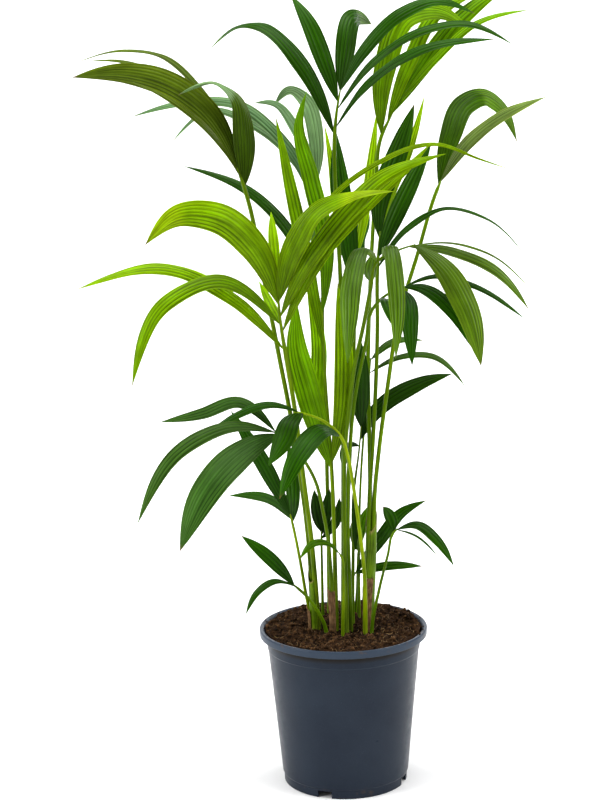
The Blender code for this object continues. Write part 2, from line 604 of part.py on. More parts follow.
def stalk_points(frond):
    """The whole stalk from the bottom of its pocket to the end of the rachis, and its rachis."""
    x, y = frond.foot
    foot = [Vector((x * CM, y * CM, SOIL_TOP - ROOT_DEPTH)),
            Vector((x * CM, y * CM, SOIL_TOP + 5 * MM))]
    knots = foot + centimetres(frond.stalk) + centimetres(frond.rachis)
    points = smooth_path(knots, STALK_STEP)
    first = min(range(len(points)), key=lambda i: (points[i] - Vector(frond.rachis[0]) * CM).length)
    return points, points[first:]


def stalk_size(frond, distance, joint, end):
    """Share of the foot's diameter: nearly even up to the joint, then thinning along the rachis."""
    base, tip = frond.diameters
    if distance < joint:
        return 1 - JOINT_TAPER * distance / joint
    beyond = (distance - joint) / (end - joint)
    return 1 - JOINT_TAPER + (tip / base - 1 + JOINT_TAPER) * beyond


def make_stalk(frond, points, rachis, parts):
    """A tapered tube along the stalk, as a mesh with welded caps."""
    along = distances(points)
    joint = along[-1] - distances(rachis)[-1]
    curve = bpy.data.curves.new(frond.name, "CURVE")
    curve.dimensions = "3D"
    curve.twist_mode = "MINIMUM"
    curve.bevel_depth = frond.diameters[0] / 2 * MM
    curve.bevel_resolution = 1
    curve.use_fill_caps = True
    spline = curve.splines.new("POLY")
    spline.points.add(len(points) - 1)
    for knot, point, distance in zip(spline.points, points, along):
        knot.co = (*point, 1.0)
        knot.radius = stalk_size(frond, distance, joint, along[-1])
    tube = add_object(frond.name + "_tube", curve, parts)
    mesh = bpy.data.meshes.new_from_object(
        tube.evaluated_get(bpy.context.evaluated_depsgraph_get()))
    body = bmesh.new()
    body.from_mesh(mesh)
    bmesh.ops.remove_doubles(body, verts=body.verts, dist=0.00001)
    body.to_mesh(mesh)
    body.free()
    mesh.name = frond.name
    stalk = add_object(frond.name, mesh, parts, frond.tone)
    stalk.matrix_world = tube.matrix_world
    bpy.data.objects.remove(tube, do_unlink=True)
    bpy.data.curves.remove(curve)
    return stalk


def blade_width(share, width):
    """Width of a blade: narrow where it joins the rachis, widest before its middle, then tapered."""
    swell = 1 - abs(2 * share ** BLADE_LEAN - 1) ** BLADE_POWER
    return max(BLADE_TIP, width * swell)


def blade_axes(tangent, face, twist):
    """The sideways and upward directions of a blade whose midline runs along the tangent."""
    up = Vector((0, -sin(radians(face)), cos(radians(face))))
    up = (up - tangent * up.dot(tangent)).normalized()
    side = tangent.cross(up)
    turn = radians(twist)
    return side * cos(turn) + up * sin(turn), up * cos(turn) - side * sin(turn)


def make_blade(name, leaflet, start, blades):
    """A leaflet: a strip with a folded midline, given its thickness by Solidify."""
    midline = smooth_path([start] + centimetres(leaflet.midline), BLADE_STEP)
    along = distances(midline)
    surface = bmesh.new()
    rows = []
    for i, point in enumerate(midline):
        share = along[i] / along[-1]
        before = midline[max(i - 1, 0)]
        after = midline[min(i + 1, len(midline) - 1)]
        tangent = (after - before).normalized()
        side, up = blade_axes(tangent, leaflet.face, leaflet.twist * share)
        half = blade_width(share, leaflet.width * MM) / 2
        edges = [point - side * half, point + side * half]
        if leaflet.width >= WIDE_BLADE:
            edges.insert(1, point + up * half * 2 * BLADE_FOLD)
        rows.append([surface.verts.new(edge) for edge in edges])
    for row, following in zip(rows, rows[1:]):
        for k in range(len(row) - 1):
            surface.faces.new((row[k], row[k + 1], following[k + 1], following[k]))
    mesh = bpy.data.meshes.new(name)
    surface.to_mesh(mesh)
    surface.free()
    blade = add_object(name, mesh, blades)
    solid = blade.modifiers.new("thickness", "SOLIDIFY")
    solid.thickness = BLADE_THICKNESS
    solid.offset = 0
    mark_cutter(blade)
    return blade


def make_frond(frond, parts):
    points, rachis = stalk_points(frond)
    stalk = make_stalk(frond, points, rachis, parts)
    blades = make_collection(frond.name + "_blades")
    last = 1 - BLADE_INSET / distances(rachis)[-1]
    for i, leaflet in enumerate(frond.leaflets):
        start = point_at(rachis, min(leaflet.start, last))
        make_blade(f"{frond.name}_blade_{i + 1}", leaflet, start, blades)
    join = stalk.modifiers.new("join", "BOOLEAN")
    join.operation = "UNION"
    join.operand_type = "COLLECTION"
    join.collection = blades
    join.solver = "EXACT"


# ---------------------------------------------------------------- sheaths

def make_sheath(sheath, parts):
    """A sleeve of leaf base, open along one side, with a torn top edge."""
    axis = smooth_path([Vector((x, y, z)) * CM for x, y, z in sheath.axis], 0.05)
    floor = Vector((0, 0, SOIL_TOP + GAP))
    along = distances(axis)
    start, end = sheath.arc
    surface = bmesh.new()
    rows = []
    for i, point in enumerate(axis):
        share = along[i] / along[-1]
        radius = (sheath.radii[0] + (sheath.radii[1] - sheath.radii[0]) * share) * CM
        row = []
        for k in range(SHEATH_COLUMNS + 1):
            turn = radians(start + (end - start) * k / SHEATH_COLUMNS)
            tear = sheath.tear * CM * share * (0.5 + 0.5 * sin(2.1 * k + len(sheath.name)))
            edge = Vector((radius * sin(turn), -radius * cos(turn), -tear))
            row.append(surface.verts.new(floor + point + edge))
        rows.append(row)
    for row, following in zip(rows, rows[1:]):
        for k in range(SHEATH_COLUMNS):
            surface.faces.new((row[k], row[k + 1], following[k + 1], following[k]))
    mesh = bpy.data.meshes.new(sheath.name)
    surface.to_mesh(mesh)
    surface.free()
    mesh.shade_smooth()
    sleeve = add_object(sheath.name, mesh, parts, sheath.tone)
    solid = sleeve.modifiers.new("thickness", "SOLIDIFY")
    solid.thickness = SHEATH_WALL
    solid.offset = 1


def main():
    clear_scene()
    parts = make_collection("potted_palm")
    make_pot(parts)
    make_soil(parts)
    for sheath in SHEATHS:
        make_sheath(sheath, parts)
    for frond in FRONDS:
        make_frond(frond, parts)


main()
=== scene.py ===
"""Looks of the potted palm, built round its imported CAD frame.

Metres, +Z up, -Y is the front. The leaves, stalks, sheaths, soil and pot are fine meshes that stand
for the plain CAD nodes of the same name. The frond and sheath lists repeat the part's design points.
"""

from math import ceil, cos, hypot, pi, radians, sin
from random import Random
from typing import NamedTuple

import bmesh
import bpy
import numpy as np
from mathutils import Matrix, Vector, noise


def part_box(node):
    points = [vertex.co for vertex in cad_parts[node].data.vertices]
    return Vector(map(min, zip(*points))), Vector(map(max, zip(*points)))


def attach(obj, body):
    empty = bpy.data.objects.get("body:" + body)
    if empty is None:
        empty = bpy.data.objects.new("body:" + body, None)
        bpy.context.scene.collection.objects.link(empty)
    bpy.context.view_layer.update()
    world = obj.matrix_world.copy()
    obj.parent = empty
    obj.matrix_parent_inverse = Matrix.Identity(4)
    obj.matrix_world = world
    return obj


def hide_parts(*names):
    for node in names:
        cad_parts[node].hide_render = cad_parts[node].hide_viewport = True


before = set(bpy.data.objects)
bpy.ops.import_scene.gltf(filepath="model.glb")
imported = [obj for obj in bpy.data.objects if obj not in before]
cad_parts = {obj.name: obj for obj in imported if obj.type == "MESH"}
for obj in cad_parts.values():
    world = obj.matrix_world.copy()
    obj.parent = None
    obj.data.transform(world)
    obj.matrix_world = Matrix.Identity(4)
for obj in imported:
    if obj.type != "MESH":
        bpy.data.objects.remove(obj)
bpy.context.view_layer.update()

CM = 0.01
MM = 0.001

# Pot, read from the frame where it can be
POT_LOW, POT_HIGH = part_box("pot")
POT_HEIGHT = POT_HIGH.z
RIM_RADIUS = (POT_HIGH.x - POT_LOW.x) / 2
RIM_BAND = 0.0095
NECK_RADIUS = 0.0975
FOOT_RADIUS = 0.0783
SKIRT_HEIGHT = 0.011
WALL = 0.0018
BAND_WALL = 0.0022
NECK_DROP = 0.0125
STEP_DROP = 0.026
STEP_DEPTH = 0.001
FLOOR_LEVEL = 0.0105
PAD_RADIUS = 0.030
NOTCH_COUNT = 4
NOTCH_WIDTH = 0.018
NOTCH_HEIGHT = 0.009
NOTCH_REACH = 0.014
NOTCH_TURN = radians(-21)
DRAIN_COUNT = 8
DRAIN_RADIUS = 0.0055
DRAIN_CIRCLE = 0.056
POT_SIDES = 160
GROOVE_SHADE_DROPS = (0.004, 0.0185)          # the groove under the rim band, darkened with painted shade, measured from the top

# Soil
SOIL_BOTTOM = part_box("soil")[0].z
SOIL_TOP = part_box("soil")[1].z
SOIL_EDGE = 0.0976                      # the soil meets the inside of the rim
SOIL_RINGS = 84
SOIL_SIDES = 300
ROOT_DEPTH = 0.020
SOIL_LUMPS = [                          # height, scale and offset of the noise
    (3.6 * MM, 42, (3, 1, 0)),
    (2.6 * MM, 110, (0, 7, 2)),
    (1.8 * MM, 260, (0, 0, 0)),
    (1.0 * MM, 620, (0, 0, 0)),
]
SOIL_HEAPS = [                          # height, middle and reach; the last is the hollow round the stems
    (4.0 * MM, (0.076, 0.046), 0.022),
    (3.5 * MM, (0.012, 0.088), 0.025),
    (-4.2 * MM, (0.006, 0.004), 0.055),
]
SHADED_SOIL = ((0.005, 0.005), 0.06)    # middle and reach of the shade under the leaves
CRUMBS = 1500
SPILLED_CRUMBS = 26                     # in a heap on one side of the rim
RIM_CRUMBS = 60
STRAWS = 230

# Leaves
BLADE_THICKNESS = 0.45 * MM
BLADE_FOLD = 0.14                       # rise of a blade's midline, as a share of its width
BLADE_POWER = 2.2
BLADE_LEAN = 0.95
BLADE_TIP = 0.5 * MM
BLADE_INSET = 2.5 * MM                  # the last blades start this far before the end of the rachis
BLADE_STEP = 4.5 * MM
BLADE_COLUMNS = 36                      # most columns of faces across a blade
RIB_PITCH = 4.4 * MM                    # distance between the pleats of a blade
RIB_HEIGHT = 0.48 * MM
RIPPLE_LENGTH = 0.07
UPPER_SPREAD = 0.14                     # how much the colours vary from blade to blade
UNDER_SPREAD = 0.10
FOOT_PAINTED_SHADE = 0.66                       # a blade's colour at its foot, as a share of its look: painted shade
TIP_PAINTED_LIGHT = 0.56                        # added towards its tip: painted light
# how sharply a tip's pale colour sets in: painted sheen, and the under side's colour
SHEEN_AND_UNDERSIDE_SHARPNESS = 22
BROWN_TIPS = 0.45                       # share of the blades whose last bit is brown
BROWN_FROM = 0.965

# Stalks
STALK_STEP = 0.010
STALK_SIDES = 12
JOINT_TAPER = 0.16
STALK_BOOST = 1.08                      # the stalks a little fuller than the plain CAD tubes
FOOT_SWELL = 0.8 / 6                    # share of its diameter added to a stalk's radius at the soil
SWELL_LENGTH = 0.14
PALE_FOOT = 0.12                        # share of a stalk over which its pale foot turns green

# Sheaths
SHEATH_STEP = 2 * MM
SHEATH_COLUMNS = 48
SHEATH_THICKNESS = 0.6 * MM
SHEATH_SINK = 3 * MM                    # how deep a sheath stands in the soil
HIGH_SIDE = radians(160)                # turn from the front at which a torn sheath is highest

# Colours of blades: (upper side, under side)
BRIGHT = ((0.220, 0.400, 0.0), (0.36, 0.52, 0.002))
MID = ((0.075, 0.205, 0.0), (0.15, 0.31, 0.004))
OLIVE = ((0.072, 0.118, 0.004), (0.15, 0.22, 0.05))
DEEP = ((0.018, 0.082, 0.0), (0.07, 0.17, 0.010))
GREY = ((0.040, 0.120, 0.003), (0.12, 0.25, 0.04))
FRESH = ((0.160, 0.340, 0.0), (0.25, 0.45, 0.004))
GLAUCOUS = ((0.095, 0.195, 0.070), (0.20, 0.35, 0.14))
SUNLIT = ((0.30, 0.50, 0.0), (0.40, 0.60, 0.002))
DRY = ((0.165, 0.235, 0.045), (0.24, 0.33, 0.09))
SHADED = ((0.012, 0.052, 0.0), (0.04, 0.11, 0.006))
LEAFY = ((0.160, 0.360, 0.0), (0.24, 0.45, 0.002))
BRONZED = ((0.085, 0.130, 0.004), (0.16, 0.24, 0.06))
SOFT = ((0.078, 0.168, 0.002), (0.15, 0.28, 0.02))
DUSKY = ((0.042, 0.110, 0.012), (0.12, 0.24, 0.04))
MOSSY = ((0.048, 0.125, 0.0), (0.13, 0.27, 0.02))
SILVERED = ((0.050, 0.110, 0.002), (0.17, 0.30, 0.12))

TIP_BROWN = (0.22, 0.13, 0.05)
FOOT_PALE = (0.20, 0.26, 0.03)
GREEN_SHEATH = (0.105, 0.200, 0.002)
GREEN_SHEATH_FOOT = (0.20, 0.27, 0.02)
BROWN_HUSK = (0.15, 0.070, 0.028)
PALE_HUSK = (0.44, 0.26, 0.13)
RIM_BLUE = (0.032, 0.047, 0.072)
DIRT = (0.085, 0.055, 0.035)
PALE_PEAT = (0.19, 0.11, 0.035)


class Tone(NamedTuple):
    """A frond's usual blade look and stalk colour; the light its blades let through, and their gloss."""
    look: tuple
    stalk: tuple
    glow: float
    gloss: float


class Leaflet(NamedTuple):
    """One blade: where on the rachis it starts (0 to 1), its midline, width and attitude.

    The midline is in centimetres and the width in millimetres. face turns the upper side from
    straight up (0) to the front (90), or to the back if negative; twist is added towards the tip.
    Where its look isn't its frond's, it is given. From the share in its last field on, the tip's upper
    side takes the paler colour of its under side: painted sheen, and an under side turned to view.
    """
    start: float
    midline: list
    width: float
    face: float
    twist: float = 0
    look: tuple = None
    sheen_and_underside: float = 1


class Frond(NamedTuple):
    """A frond in centimetres; its two stalk diameters, at the foot and the tip, in millimetres.

    Where its look or its stalk's colour isn't its tone's, it is given.
    """
    name: str
    tone: str
    diameters: tuple
    foot: tuple
    stalk: list
    rachis: list
    leaflets: list
    look: tuple = None
    stalk_colour: tuple = None


class Sheath(NamedTuple):
    """A sleeve round a bundle of stalks: its axis and radii in centimetres, its arc in degrees.

    tear is the depth of its torn top edge, in centimetres. squeeze is how much its top is flattened
    from the sides.
    """
    name: str
    axis: list
    radii: tuple
    arc: tuple
    tear: float
    old: bool = False
    squeeze: float = 0


TONES = {
    "bright": Tone(BRIGHT, (0.150, 0.255, 0.002), 0.50, 0.13),
    "mid": Tone(MID, (0.110, 0.220, 0.002), 0.36, 0.13),
    "olive": Tone(OLIVE, (0.105, 0.185, 0.002), 0.24, 0.13),
    "deep": Tone(DEEP, (0.090, 0.185, 0.001), 0.22, 0.13),
    "grey": Tone(GREY, (0.095, 0.185, 0.002), 0.20, 0.30),
}

FRONDS = [
    Frond(
        "frond_bright_left", "bright", (6.2, 1.9), (-3.25, 0.95),
        stalk=[(-3.65, 0.9, 29), (-4.7, -0.6, 40), (-5.6, -1.8, 49)],
        rachis=[(-6.5, -3, 55.5), (-7.1, -4, 60.5), (-7.3, -4.2, 65)],
        leaflets=[
            Leaflet(0.66, [(-10, -6, 69.1), (-14, -8, 72.8), (-18.5, -9.5, 73.4), (-22.4, -12, 70.3)],
                    37, 62, 40, sheen_and_underside=0.74),
            Leaflet(0.42, [(-8.6, 0.2, 62), (-9.6, 1.2, 64)], 12, 60, look=SUNLIT),
            Leaflet(0.4, [(-14.2, -6.5, 65.1), (-20.8, -9, 62.6), (-24.6, -11, 53.5)], 21, 50),
            Leaflet(0.05, [(-12.4, -4, 62.3), (-20.4, -6, 66.6), (-31, -8, 64.7)], 21, 50, -20),
            Leaflet(0.7, [(-5, -8, 69.5), (-1.9, -11, 73.9), (1.6, -12.2, 75.4), (6.5, -13, 76)],
                    33, 65, 50, sheen_and_underside=0.72),
            Leaflet(0.5, [(-2.8, -8, 68.6), (1.4, -9.5, 73.8), (5, -10.5, 77.2), (12.5, -11, 80)], 24, 55),
            Leaflet(0.3, [(-1, -7.2, 69.4), (3.6, -8, 74.2), (9.1, -8.4, 79.1), (11, -8.4, 81.1)], 20, 55),
            Leaflet(0.7, [(-2, -6.4, 73.4), (3.8, -7, 78.2), (11.9, -7.2, 80.8), (16.5, -7.2, 79.1),
                          (20.7, -7.2, 77.6)], 7, 50),
            Leaflet(0.97, [(-7.7, -2.6, 70), (-7.9, -1, 72.7)], 13, 70, look=SUNLIT),
        ],
    ),
    Frond(
        "frond_bright_centre", "bright", (5.6, 1.8), (-0.9, 0.1),
        stalk=[(-0.9, 0.1, 27)],
        rachis=[(-1.1, -0.3, 40), (-1.6, 0.6, 50), (-2, 1.2, 61.8)],
        leaflets=[
            Leaflet(0.02, [(-3.8, -0.9, 50.2), (-5.2, -0.7, 56.6), (-5, -0.5, 61.7)], 32, 75, look=LEAFY),
            Leaflet(0.1, [(-2.6, 1.8, 49.6), (-2.4, 2.4, 55.6), (-3.8, 2.8, 64)], 20, 75),
            Leaflet(0.05, [(0.2, -1.2, 47.5), (0.6, -1.6, 54.3), (0, -1.2, 64)], 24, 75),
            Leaflet(0.7, [(-3.6, 1.2, 65.8), (-5.2, 0.8, 74), (-7.1, -0.6, 84.2)], 18, 70),
            Leaflet(0.9, [(-1.3, 0.6, 68), (-3, 0.2, 76.5), (-4.3, -0.4, 83.2), (-3.3, -1.6, 87)],
                    22, 75, look=LEAFY),
        ],
    ),
    Frond(
        "frond_top_centre", "deep", (5.6, 1.8), (0.1, 1.5),
        stalk=[(0.3, 2, 34.5), (0.5, 2.4, 49.5), (0.4, 2.5, 64.7), (0, 2.2, 74.8)],
        rachis=[(0, 2, 81.5), (0.3, 2, 84.4), (0.8, 2.2, 87)],
        leaflets=[
            Leaflet(0, [(-3.9, 2.6, 90), (-8.4, 5, 94.5), (-11.7, 8, 94.5), (-15.5, 11, 91.6)],
                    24, 70, -65, sheen_and_underside=0.86),
            Leaflet(0.72, [(-1.1, 2.8, 90.4), (-2.9, 4, 95), (-5, 6, 98.4)], 22, 75),
            Leaflet(0.95, [(1.3, 3.2, 90.6), (2.3, 5.5, 95.2), (5, 10.5, 94.6)], 26, 65, -30, sheen_and_underside=0.72),
            Leaflet(1, [(3.5, 1, 91.3), (8, 0, 95.7), (12, 0, 97.2), (17, 1, 95.7)], 20, 45),
            Leaflet(0.55, [(5.4, -1, 90.8), (10.5, -3, 93.8), (15.7, -4, 94.5), (21, -5, 92)], 15, 40),
            Leaflet(0.15, [(5.2, -3, 88.8), (10.2, -5.5, 91.7), (18.8, -7, 92.8)], 18, 40),
        ],
    ),
    Frond(
        "frond_top_right", "mid", (5.4, 1.8), (2.95, 1.3),
        stalk=[(3.55, 1.35, 29), (3.7, 1.7, 37.5), (3.7, 2.3, 45), (3.7, 3.3, 52), (4.1, 4.8, 61.3),
               (5.1, 6.4, 74.4)],
        rachis=[(5.9, 7, 81), (6.8, 7.6, 82.8), (7.8, 8.4, 84.6)],
        leaflets=[
            Leaflet(0, [(6.3, 6.4, 88.8), (9.2, 7, 95.4), (13.1, 8.5, 96), (17.3, 10, 93.5)], 29, 75),
            Leaflet(0.4, [(9.5, 9, 89.7), (12.7, 10, 95.3), (19, 12, 98.4)], 19, 60),
            Leaflet(0.7, [(11.1, 10, 89), (15.9, 11, 94.8), (23.3, 12, 99.9)], 24, 60),
            Leaflet(1, [(12.6, 7.8, 90), (17.7, 7.4, 94.4), (24.3, 7, 96)], 11, 45),
        ],
        look=FRESH,
    ),
    Frond(
        "frond_right", "mid", (5.4, 1.8), (3.45, 0.95),
        stalk=[(4, 0.85, 29), (4.25, 1, 37), (4.9, 1.3, 42.7), (6.1, 1.9, 50.6), (7.5, 2.8, 58.6),
               (10, 3.6, 66.5)],
        rachis=[(12.6, 4.5, 74.5), (13.1, 4.7, 75.6)],
        leaflets=[
            Leaflet(0.3, [(14.4, 6.5, 80.8), (16.3, 9, 84.4), (18.9, 11, 85.3), (21.3, 12.5, 83.8),
                          (23.5, 14, 79.4)], 31, 75, 40, look=MOSSY, sheen_and_underside=0.6),
            Leaflet(1, [(16.8, 3, 80.7), (20.2, 2, 83.3), (25.5, 0.5, 85.7)], 20, 42, look=DRY),
        ],
    ),
    Frond(
        "frond_upper_left", "olive", (6.0, 1.9), (-3.75, 1.5),
        stalk=[(-4.05, 1.65, 29), (-6.2, 2.9, 47.4), (-7.4, 3.4, 54.4), (-9.3, 3.9, 65.5),
               (-10.5, 4.1, 72.6)],
        rachis=[(-11.1, 4, 75), (-12.5, 4.4, 79.2)],
        leaflets=[
            Leaflet(0.05, [(-11.1, 3.8, 81.4), (-12.2, 2.4, 86.2), (-14.4, 1.4, 87.9), (-18.8, 1, 86.8)],
                    34, 75, -100, look=SILVERED, sheen_and_underside=0.6),
            Leaflet(0.5, [(-15.2, 4, 84.2), (-20.6, 4.4, 88.2), (-25.3, 5, 89.4), (-32, 5.8, 89)],
                    33, 60, 50, look=BRONZED),
            Leaflet(0.3, [(-15.6, 0.8, 82.8), (-19.8, 0.2, 86.3), (-24.3, -0.4, 88.6)], 12, 30),
            Leaflet(1, [(-15.8, 6.4, 86.3), (-21, 8, 91.2), (-25.8, 9, 92), (-32, 10, 90.6)], 14, 15),
            Leaflet(0.8, [(-19.5, 8, 87.9), (-26, 11, 90.6), (-31.4, 13, 90.7)], 11, 25),
        ],
    ),
    Frond(
        "frond_back_left", "grey", (5.2, 1.8), (-1.6, 6.6),
        stalk=[(-1.6, 7.4, 38.2), (-1.7, 8, 48.4)],
        rachis=[(-1.8, 8.6, 56.6), (-1.7, 9, 69), (-2.5, 9.8, 76.2)],
        leaflets=[
            Leaflet(1, [(-4.6, 11.4, 81.6), (-7.1, 13, 84.8), (-10, 15, 85)], 15, -55),
            Leaflet(0.7, [(-6.1, 11, 80), (-12.4, 13, 85), (-18.8, 14, 85.2), (-25.8, 15, 83.5)], 16, 50),
            Leaflet(0.93, [(-2.1, 10.5, 79.8), (-3.5, 12, 85.4), (-5.5, 14, 86.5), (-7.4, 15.5, 84.6)],
                    21, -70),
            Leaflet(0.05, [(-5.4, 8, 68.6), (-10.2, 8, 74), (-19, 8, 77.8)], 16, 50, look=DEEP),
            Leaflet(0.85, [(-8.8, 15, 81.3), (-15.7, 17, 84), (-20.8, 18.5, 80)], 13, 40),
        ],
        look=GLAUCOUS,
    ),
    Frond(
        "frond_right_tall", "deep", (5.4, 1.8), (2.95, 0.6),
        stalk=[(3.3, 0.75, 29), (3.6, 0.85, 37), (4.2, 1.4, 44.6), (4.9, 2.2, 57.6)],
        rachis=[(5, 2.2, 65), (5.4, 2.5, 69.7)],
        leaflets=[
            Leaflet(0.3, [(6.5, 1.2, 70), (8.8, 0.6, 75), (11.6, -0.4, 80.6)], 22, 75),
            Leaflet(0.02, [(8.5, -0.2, 70.1), (12.9, -1.4, 72.6), (18.3, -2.4, 71.2), (22.6, -3.2, 67)],
                    17, 40, 60),
            Leaflet(0.8, [(5.5, 3.6, 73.6), (7.4, 4.2, 78.2), (9.9, 4.8, 85)], 27, 75),
            Leaflet(1, [(7.2, 5.2, 74.5), (9.3, 5.8, 79.4), (11.3, 6.6, 86)], 11, 60, look=SUNLIT),
        ],
    ),
    Frond(
        "frond_centre_back", "deep", (5.0, 1.8), (0.7, 5.8),
        stalk=[(1, 6, 33.5), (1.8, 6.2, 48.8)],
        rachis=[(2.2, 6.4, 59), (2.1, 6.6, 66.2)],
        leaflets=[
            Leaflet(0.4, [(1.5, 6, 68.8), (0.6, 5.6, 75.5), (0.2, 5.2, 82)], 27, 75),
            Leaflet(0.8, [(3.5, 8.4, 70), (4.5, 9, 76.3), (5.5, 9.6, 84)], 13, 70, look=SUNLIT),
            Leaflet(1, [(0.2, 8.2, 72.2), (-0.3, 8.8, 77.3), (-1.1, 9.4, 82.5)], 10, 70, look=SUNLIT),
            Leaflet(0.1, [(3, 11, 66), (3.4, 17, 70.5), (2.4, 23, 67)], 26, -40),
            Leaflet(0.55, [(0, 10.5, 68), (-1.4, 15, 70), (-3, 20, 66)], 22, -30),
        ],
    ),
    Frond(
        "frond_right_arching", "grey", (5.4, 1.8), (0.4, -0.5),
        stalk=[(0.4, -0.8, 35.2), (0.5, -1.2, 42.3), (1.2, -1.9, 49), (2, -2.7, 54.5), (3, -3.4, 59)],
        rachis=[(3.9, -4.2, 63.6), (4.6, -4.8, 66.8), (7.1, -5, 68.2), (9.3, -4.6, 68.8)],
        leaflets=[
            Leaflet(0.4, [(2.9, -8, 68.7), (1.4, -12, 65.2), (1, -14, 60.8), (0.7, -15, 56.5)], 25, 0),
            Leaflet(0.5, [(6.1, -9, 69), (6.5, -12, 65.2), (6.6, -13.5, 61), (6.3, -14.5, 56.8)], 21, 0),
            Leaflet(0.1, [(3.9, -3.2, 65.2), (4.5, -2.2, 67.7)], 16, 70),
            Leaflet(1, [(12, -6, 66.6), (15, -8, 61.7), (16.7, -9, 54.7)], 31, 55),
            Leaflet(0.93, [(13.7, -3.6, 68.7), (18.7, -3.2, 67), (23, -3, 63.2)], 9, 10),
            Leaflet(0.88, [(14.4, -1.6, 67.3), (19.4, -0.8, 64.8), (23.4, 0, 60)], 15, 50),
        ],
        look=SOFT,
    ),
    Frond(
        "frond_right_drooping", "deep", (5.0, 1.7), (0.95, 0.5),
        stalk=[(1, 0.3, 40), (2, -0.2, 50), (3.4, -0.9, 56.7)],
        rachis=[(4.1, -1.4, 60.5), (5.9, -2.2, 62.5), (8.2, -2.6, 63.5)],
        leaflets=[
            Leaflet(0.95, [(10, -4.4, 63.5), (13.5, -6.4, 61), (16, -7.4, 56.3)], 19, 50),
            Leaflet(0.85, [(8.4, -5.8, 62), (8.4, -8.2, 58.7), (8.5, -9.2, 55)], 20, 10),
            Leaflet(1, [(11.5, -1.2, 64.4), (16.5, 0.6, 63), (23.2, 1.6, 58.5)], 11, 35),
            Leaflet(0.4, [(5.8, -5, 61.6), (6.6, -6.6, 59)], 14, 10),
        ],
    ),
    Frond(
        "frond_right_slender", "grey", (3.2, 1.6), (2.2, 4.7),
        stalk=[(2.7, 4.6, 39)],
        rachis=[(3.8, 4.3, 50.8), (4.1, 4.1, 53.6)],
        leaflets=[
            Leaflet(1, [(6.9, 5, 55.4), (10.8, 6, 55.4)], 11, 40),
            Leaflet(0.3, [(7.8, 4.8, 53.5), (12, 5.2, 53.4), (16, 5.6, 49.5)], 10, 40),
        ],
    ),
    Frond(
        "frond_low_right", "deep", (4.2, 1.6), (1.3, 3.3),
        stalk=[(1.5, 3.4, 29)],
        rachis=[(1.6, 3.1, 35.7), (2.5, 2.5, 43), (2.7, 2.2, 45.4)],
        leaflets=[
            Leaflet(0.1, [(1.8, 2.2, 35), (1.7, 1.5, 29.5)], 10, 20),
            Leaflet(0.8, [(4.4, 3.8, 46.5), (10.3, 4.4, 50.2), (14.3, 4.6, 51.3)], 22, 60),
            Leaflet(1, [(2.6, 1.2, 50.3), (2.8, 0.9, 56.4)], 24, 75),
            Leaflet(0.72, [(1.2, 3.6, 42.6), (0.5, 3.9, 39.5)], 14, 30),
        ],
        look=SHADED,
    ),
    Frond(
        "frond_low_left", "deep", (4.6, 1.8), (-1.3, -0.5),
        stalk=[(-1.45, -0.6, 27), (-1.7, -1.1, 31.3), (-2.3, -2, 35.5), (-3.2, -3, 39.7),
               (-4.4, -4.2, 42.4), (-6, -5.6, 45)],
        rachis=[(-7.3, -6.6, 46.4), (-8, -7, 46.8)],
        leaflets=[
            Leaflet(0.2, [(-11.4, -10, 45.3), (-16, -14, 41.5), (-19.3, -16, 34.7)], 38, 60),
            Leaflet(0.6, [(-12.7, -9, 48), (-19.5, -12, 45.5), (-24.3, -14, 37.6)], 19, 50),
            Leaflet(1, [(-12.3, -5.4, 50.2), (-16.8, -4.4, 48.7), (-22, -3.6, 47.6)], 16, 35, 50),
        ],
        look=DUSKY,
    ),
    Frond(
        "frond_low_centre", "deep", (4.8, 1.8), (2.75, -1.0),
        stalk=[(2.7, -2, 27.6), (2.1, -3, 33.8), (1.4, -4, 39.5), (0.8, -5, 43.2)],
        rachis=[(0.1, -5.8, 45.6), (-2.1, -6.8, 48), (-5.2, -7.4, 49.3)],
        leaflets=[
            Leaflet(0.05, [(-2.6, -9.5, 47.3), (-5.2, -12.5, 45), (-7.5, -14.5, 40.4)], 27, 45),
            Leaflet(0.9, [(-6, -9.5, 48.6), (-7.1, -11, 46.3), (-8.8, -12, 43.8)], 28, 20),
            Leaflet(1, [(-8.4, -7.4, 50.2), (-12.3, -7.2, 49), (-16.6, -7.2, 46.2)], 14, 30),
        ],
        stalk_colour=(0.28, 0.4, 0.002),
    ),
    Frond(
        "frond_left_lower", "deep", (4.0, 1.6), (-4.05, 2.8),
        stalk=[(-4.7, 2.4, 24), (-5.1, 1.1, 27.2)],
        rachis=[(-6.1, 0.6, 33.2), (-6.4, 0.6, 34.6)],
        leaflets=[
            Leaflet(0.9, [(-9, 0.4, 40), (-13.5, 0.6, 48)], 20, 70),
            Leaflet(0.5, [(-9, 4, 35.7), (-14.2, 6, 35.8)], 14, 45),
            Leaflet(0.2, [(-6, 4.6, 36.2), (-6.4, 5.6, 42.6)], 18, 70),
        ],
        stalk_colour=(0.17, 0.27, 0.002),
    ),
    Frond(
        "frond_bottom_left", "deep", (4.0, 1.6), (-2.2, -1.5),
        stalk=[(-3.1, -2.4, 22.6), (-4.4, -3, 24.8)],
        rachis=[(-5.5, -3.4, 26), (-6.2, -3.6, 26.7)],
        leaflets=[
            Leaflet(0.8, [(-8.5, -3.4, 29.5), (-12.5, -2.6, 32.8)], 17, 60),
            Leaflet(0.3, [(-8.8, -6, 27.7), (-10.8, -7.5, 26.6), (-12, -8.5, 24.5)], 12, 20),
        ],
    ),
    Frond(
        "frond_small_centre", "mid", (3.4, 1.6), (-0.1, -1.9),
        stalk=[(0.1, -2.4, 26.7)],
        rachis=[(-0.1, -2.7, 29.8), (-0.4, -3, 30.4)],
        leaflets=[
            Leaflet(1, [(-2, -4, 32), (-3.6, -5, 32.2), (-5.3, -6, 30.6)], 13, 25),
        ],
